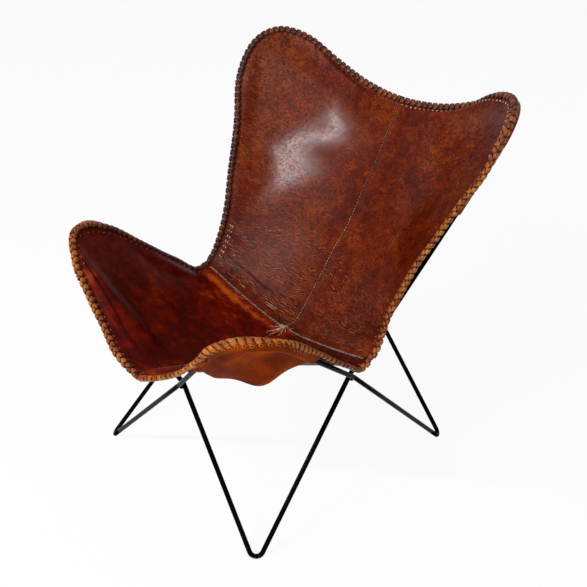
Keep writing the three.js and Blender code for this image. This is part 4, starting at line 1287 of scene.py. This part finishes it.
def layOnPocket(surface, rim, isBack, isRight):  # under an ear the edge's outside runs down on the pocket
    start, end = pockets["back" if isBack else "front"]["ribs"]
    outer = pocketOuter[isBack, isRight]
    place, w, centre = np.abs(rim["ribs"]), rim["w"], rim["centre"]
    share = smooth(start - 0.1, start + 0.5, place) * smooth(end + 0.1, end - 0.5, place)
    row = np.clip((place - start) / (end - start), 0, 1) * (len(outer) - 1)
    low = np.minimum(row.astype(int), len(outer) - 2)
    part = (row - low)[:, None, None]
    skin = outer[low] * (1 - part) + outer[low + 1] * part
    crest = int(np.searchsorted(w, 0))
    reach = np.arange(0, float(lace["pocketReach"]))
    for i in np.nonzero(share > 0)[0]:
        away = skin[i] - centre[i]
        wide = away @ rim["inward"][i] / sling["laceWidth"]
        high = away @ rim["normal"][i] / sling["laceThickness"]
        line = np.concatenate([surface[i, [crest]], skin[i, wide**2 + high**2 > 0.24]])
        run = np.concatenate([[0], np.cumsum(np.linalg.norm(np.diff(line, axis=0), axis=1))])
        down = np.stack([np.interp(reach, run, line[:, k]) for k in range(3)], -1)
        for _ in range(3):
            down[1:-1] = (down[:-2] + 2 * down[1:-1] + down[2:]) / 4
        below = np.stack([np.interp(-w[:crest], reach, down[:, k]) for k in range(3)], -1)
        surface[i, :crest] += share[i] * (below - surface[i, :crest])
    return share


def onSurface(rim, s, w, values="surface"):  # a place on the edge's surface, s and w in millimetres
    grid = rim[values]
    i = np.clip(np.asarray(s) / lace["sectionStep"], 0, grid.shape[0] - 1.001)
    j = np.clip((np.asarray(w) - rim["w"][0]) / lace["sectionStep"], 0, grid.shape[1] - 1.001)
    return between(grid, i, j)


def bareAt(station, side, w):
    table = np.array(lace["bare"][side])
    return np.interp(station, table[:, 0], table[:, 1]) + lace["bareOutside"] * smooth(1, -6, w)


def laceCore(name, rim):  # the roll that the bars are wound round: dyed dark, and darker still with painted shade
    angles = 2 * math.pi * (np.arange(lace["coreSides"]) + 0.5) / lace["coreSides"]
    wide, high = np.cos(angles) * sling["laceWidth"] / 2, np.sin(angles) * sling["laceThickness"] / 2
    last = len(rim["ribs"]) - 1
    rings = []
    for i in [*range(0, last - 2, 4), last]:
        section = np.outer(wide, rim["inward"][i]) + np.outer(high, rim["normal"][i])
        rings.append(rim["centre"][i] + lace["coreShare"] * section)
    points, faces = sweepMesh(rings)
    attributes = {"bare": np.zeros(len(points)), "hollowShade": np.full(len(points), lace["coreShade"])}
    core = tidyMesh(meshObject(name + "_core", points + shift, faces, attributes))
    core.data.materials.append(laceLeather)
    return core


def barTrack(rim, side, row, place, lean, start, end, rng):  # one bar, from start to end round the section
    f = np.linspace(0, 1, len(lace["barRise"]))
    w = start + (end - start) * f
    toCrest = 1 - f if end < 0 else f
    s = place + rng.uniform(-0.5, 0.5) + lean * (toCrest - 0.5)
    rise = lace["barThickness"] * np.array(lace["barRise"]) - lace["sink"]
    outward = unit(onSurface(rim, s, w, "outward"))
    swell = np.array(lace["barSwell"]) * rng.uniform(0.95, 1.03)
    bare = bareAt(rim["stations"][row], side, w) + rng.uniform(-lace["bareJitter"], lace["bareJitter"])
    track = {"points": onSurface(rim, s, w) + outward * rise[:, None] + shift, "outward": outward,
             "swell": swell, "bare": bare, "hollowShade": np.array(lace["barShade"])}
    return track, s[-1]


def holeTrack(rim, place, setup):
    s = place + np.array([-1, 0, 1]) * setup["reach"]
    w = np.full(3, -lace["outsideReach"] - 1.0)
    outward = unit(onSurface(rim, s, w, "outward"))
    return {"points": onSurface(rim, s, w) + outward * setup["high"] + shift, "outward": outward,
            "swell": np.array([0.4, 1, 0.4]), "bare": np.full(3, setup["bare"]),
            "hollowShade": np.full(3, 1 - setup["bare"])}


def makeLacing(direction, side):
    name = f"lacing_{'back' if direction > 0 else 'front'}_{'right' if side > 0 else 'left'}"
    rim = rimSurface(direction, side)
    rng = np.random.default_rng(40 + 2 * direction + side)
    lean = -direction * side * lace["lean"]  # clockwise round the rim from the front, its crest end leads
    length = (len(rim["ribs"]) - 1) * lace["sectionStep"]
    count = round(length / lace["pitch"])
    pitch = length / count
    bars, holes = [], {kind: [] for kind in lace["holes"]}
    for k in range(count):
        place = (k + 0.25) * pitch
        row = int(np.clip(place / lace["sectionStep"], 0, len(rim["ribs"]) - 1))
        inner = (lace["faceReach"], lace["spine"] - lace["overlap"])
        outer = (lace["spine"] + lace["overlap"], -lace["outsideReach"])
        for at, ends in ((place, inner), (place + pitch / 2, outer)):
            bar, foot = barTrack(rim, side, row, at, lean, *ends, rng)
            bars.append(bar)
        if rim["pocket"][row] > 0.5:
            for kind, setup in lace["holes"].items():
                holes[kind].append(holeTrack(rim, foot, setup))
    width, thickness = lace["barWidth"], lace["barThickness"]
    parts = [laceCore(name, rim), ribbons(name + "_bars", bars, laceLeather, width, thickness, lace["sides"])]
    for kind, tracks in holes.items():
        if tracks:
            width = lace["holes"][kind]["width"]
            parts.append(ribbons(f"{name}_{kind}", tracks, laceLeather, width, lace["holeThickness"],
                                 lace["holeSides"]))
    piece = joined(name + "_thong", parts)
    print(piece.name, "faces", len(piece.data.polygons))
    finishPiece(piece, [name])


for direction in (1, -1):
    for side in (1, -1):
        makeLacing(direction, side)
print("lacing made")


# Sewing thread: stitches along the seams, a dot beside each bar of the lacing, the star where the panels meet

thread = {
    "seamPitch": 6.6, "dimAbove": 330, "seamStitch": (4.8, 1.7, 1.1),
    "chainPitch": 8.2, "chainStitch": (9.4, 4.4, 2.8), "chainInset": 4.5, "chainSlant": 0.45,
    "dotInset": 4.0, "dotStitch": (3.4, 2.6, 1.6), "topDot": (5.0, 4.2, 2.4), "topFrom": 480,
    "notchInsets": (8, 13), "notchUp": (36, 135), "starAt": (3, -4),
    "starThreads": ((205, 26), (222, 34), (236, 48), (247, 30), (258, 44), (268, 34), (279, 46), (290, 30),
                    (302, 38), (318, 22), (20, 20), (60, 12), (120, 14), (170, 20)),  # degrees and length
    "starSwell": (1, 1, 1, 1, 0.9, 0.8, 0.5), "scratchSwell": (0.3, 0.9, 1, 1, 1, 0.9, 0.3),
    "scratches": (((-94, 25), (-56, 29)), ((-90, 20), (-60, 23.5))),
}


def stitchShape(name, length, width, height, slant):  # a short bar, lowest at its ends: X along it, Z outward
    rings, sides = [], 6
    for f in np.linspace(0, 1, 5):
        swell = 0.35 + 0.65 * math.sin(math.pi * f) ** 0.7
        turn = 2 * math.pi * (np.arange(sides) + 0.5) / sides
        rings.append(np.stack([np.full(sides, (f - 0.5) * length), np.cos(turn) * width / 2 * swell,
                               (np.sin(turn) * 0.5 + 0.35 * math.sin(math.pi * f) - 0.25) * height], -1))
    points, faces = sweepMesh(rings)
    points = points @ np.array(Matrix.Rotation(-slant, 3, "Z"))
    return tidyMesh(meshObject(name, points, faces))


def onPanel(across, up):  # a place on the sling's face: up the back, or with a negative height down the seat
    isBack, isRight = up >= 0, across >= 0
    top, normal, grid = panels[isBack, isRight]
    tuck = panelMesh["tuckColumns"]
    row = np.interp(abs(up), grid["up"][:, 0], np.arange(len(top)))
    i = min(int(row), len(top) - 2)
    line = grid["across"][i, :-tuck] if isRight else grid["across"][i, tuck:]
    column = np.interp(across, line, np.arange(len(line))) + (0 if isRight else tuck)
    at = np.array([min(row, len(top) - 1.001)]), np.array([min(column, top.shape[1] - 1.001)])
    return [between(values, *at)[0] for values in (top, normal)]


def pathTrack(points, outward, lift=0.2):
    keep = np.concatenate([[True], np.linalg.norm(np.diff(points, axis=0), axis=1) > 0.05])
    points, outward = points[keep], unit(outward[keep])
    return {"points": points + outward * lift + shift, "along": unit(np.gradient(points, axis=0)),
            "outward": outward}


def insetTrack(isBack, isRight, inset, fromUp=-1e9, toUp=1e9):  # a line beside the laced edge
    top, normal, grid = panels[isBack, isRight]
    tuck = panelMesh["tuckColumns"]
    points, outward = [], []
    for i in range(len(top)):
        line, width = grid["across"][i], grid["width"][i, 0]
        part = slice(0, len(line) - tuck) if isRight else slice(tuck, len(line))
        if width > 3 * inset and fromUp <= grid["up"][i, 0] <= toUp:
            j = np.interp((width - inset) * (1 if isRight else -1), line[part], np.arange(len(line))[part])
            a, f = int(j), j - int(j)
            points.append(top[i, a] * (1 - f) + top[i, a + 1] * f)
            outward.append(normal[i, a])
    return pathTrack(np.array(points), np.array(outward))


def makeStitches(name, tracks, size, pitch, material, seed, slant=0.0, turnJitter=0.06, sizeJitter=0.12):
    shape = stitchShape(name + "_shape", *size, slant)
    piece = grown(name, tracks, repeatTree(name, seed),
                  {"Shape": shape, "Material": material, "Pitch": pitch * mm, "Turn Jitter": turnJitter,
                   "Size Jitter": sizeJitter})
    bpy.data.objects.remove(shape)
    print(name, "faces", len(piece.data.polygons))
    finishPiece(piece)


def makeCentreSeam():
    start, middle = (int(np.argmax(panels[True, True][2]["up"][:, 0] > up)) for up in (3, thread["dimAbove"]))
    runs = (("back", True, slice(start, middle), paleThread, 3),
            ("top", True, slice(middle, None), greyThread, 4),
            ("seat", False, slice(20, None), greyThread, 5))
    for name, isBack, part, material, seed in runs:
        top, normal, _ = panels[isBack, True]
        makeStitches("centre_seam_thread_" + name, [pathTrack(top[part, 1], normal[part, 1])],
                     thread["seamStitch"], thread["seamPitch"], material, seed)


def makeCrossSeam():  # one row of slanting stitches, like a rope
    points, outward = [], []
    for isRight in (False, True):
        top, normal, grid = panels[False, isRight]
        row = np.interp(thread["chainInset"], grid["up"][:, 0], np.arange(len(top)))
        i, f = int(row), row - int(row)
        part = slice(0, -8) if isRight else slice(8, -7)  # short of the tucked edge, and of the lap
        points.append(top[i, part] * (1 - f) + top[i + 1, part] * f)
        outward.append(normal[i, part])
    track = pathTrack(np.concatenate(points), np.concatenate(outward), 0.6)
    makeStitches("cross_seam_thread", [track], thread["chainStitch"], thread["chainPitch"], greyThread, 7,
                 thread["chainSlant"], 0.12, 0.1)


def makeEdgeStitches():
    inset, top = thread["dotInset"], thread["topFrom"]
    pale = [insetTrack(True, True, inset, top)]
    pale += [insetTrack(True, False, notch, *thread["notchUp"]) for notch in thread["notchInsets"]]
    dim = [insetTrack(True, True, inset, 20, top)]
    dim += [insetTrack(*key, inset, 20) for key in ((True, False), (False, True), (False, False))]
    makeStitches("edge_thread_top", pale, thread["topDot"], lace["pitch"] * 0.8, paleThread, 9)
    makeStitches("edge_thread", dim, thread["dotStitch"], lace["pitch"], greyThread, 11)


def looseTrack(places, lift, swell):  # through places on the sling's face
    points, outward = (np.array(found) for found in zip(*(onPanel(*place) for place in places)))
    outward = unit(outward)
    return {"points": points + outward * lift + shift, "outward": outward, "swell": np.array(swell)}


def makeLooseThreads():  # the ends tied off in a star, and two scratches
    rng = np.random.default_rng(8)
    steps = np.linspace(0, 1, len(thread["starSwell"]))
    x, y = thread["starAt"]
    tracks = []
    for degrees, reach in thread["starThreads"]:
        turn, bend = math.radians(degrees), rng.uniform(-0.35, 0.35)
        places = [(x + reach * f * math.cos(turn + bend * f), y + reach * f * math.sin(turn + bend * f))
                  for f in steps]
        lift = 0.5 + 1.2 * (1 - steps) + rng.uniform(0, 0.6)
        tracks.append(looseTrack(places, lift[:, None], thread["starSwell"]))
    for start, end in np.array(thread["scratches"], float):
        places = [start * (1 - f) + end * f for f in steps]
        tracks.append(looseTrack(places, 0.15, thread["scratchSwell"]))
    finishPiece(ribbons("star_thread", tracks, paleThread, 1.5, 0.9, 6))


makeCentreSeam()
makeCrossSeam()
makeEdgeStitches()
makeLooseThreads()
print("threads made")
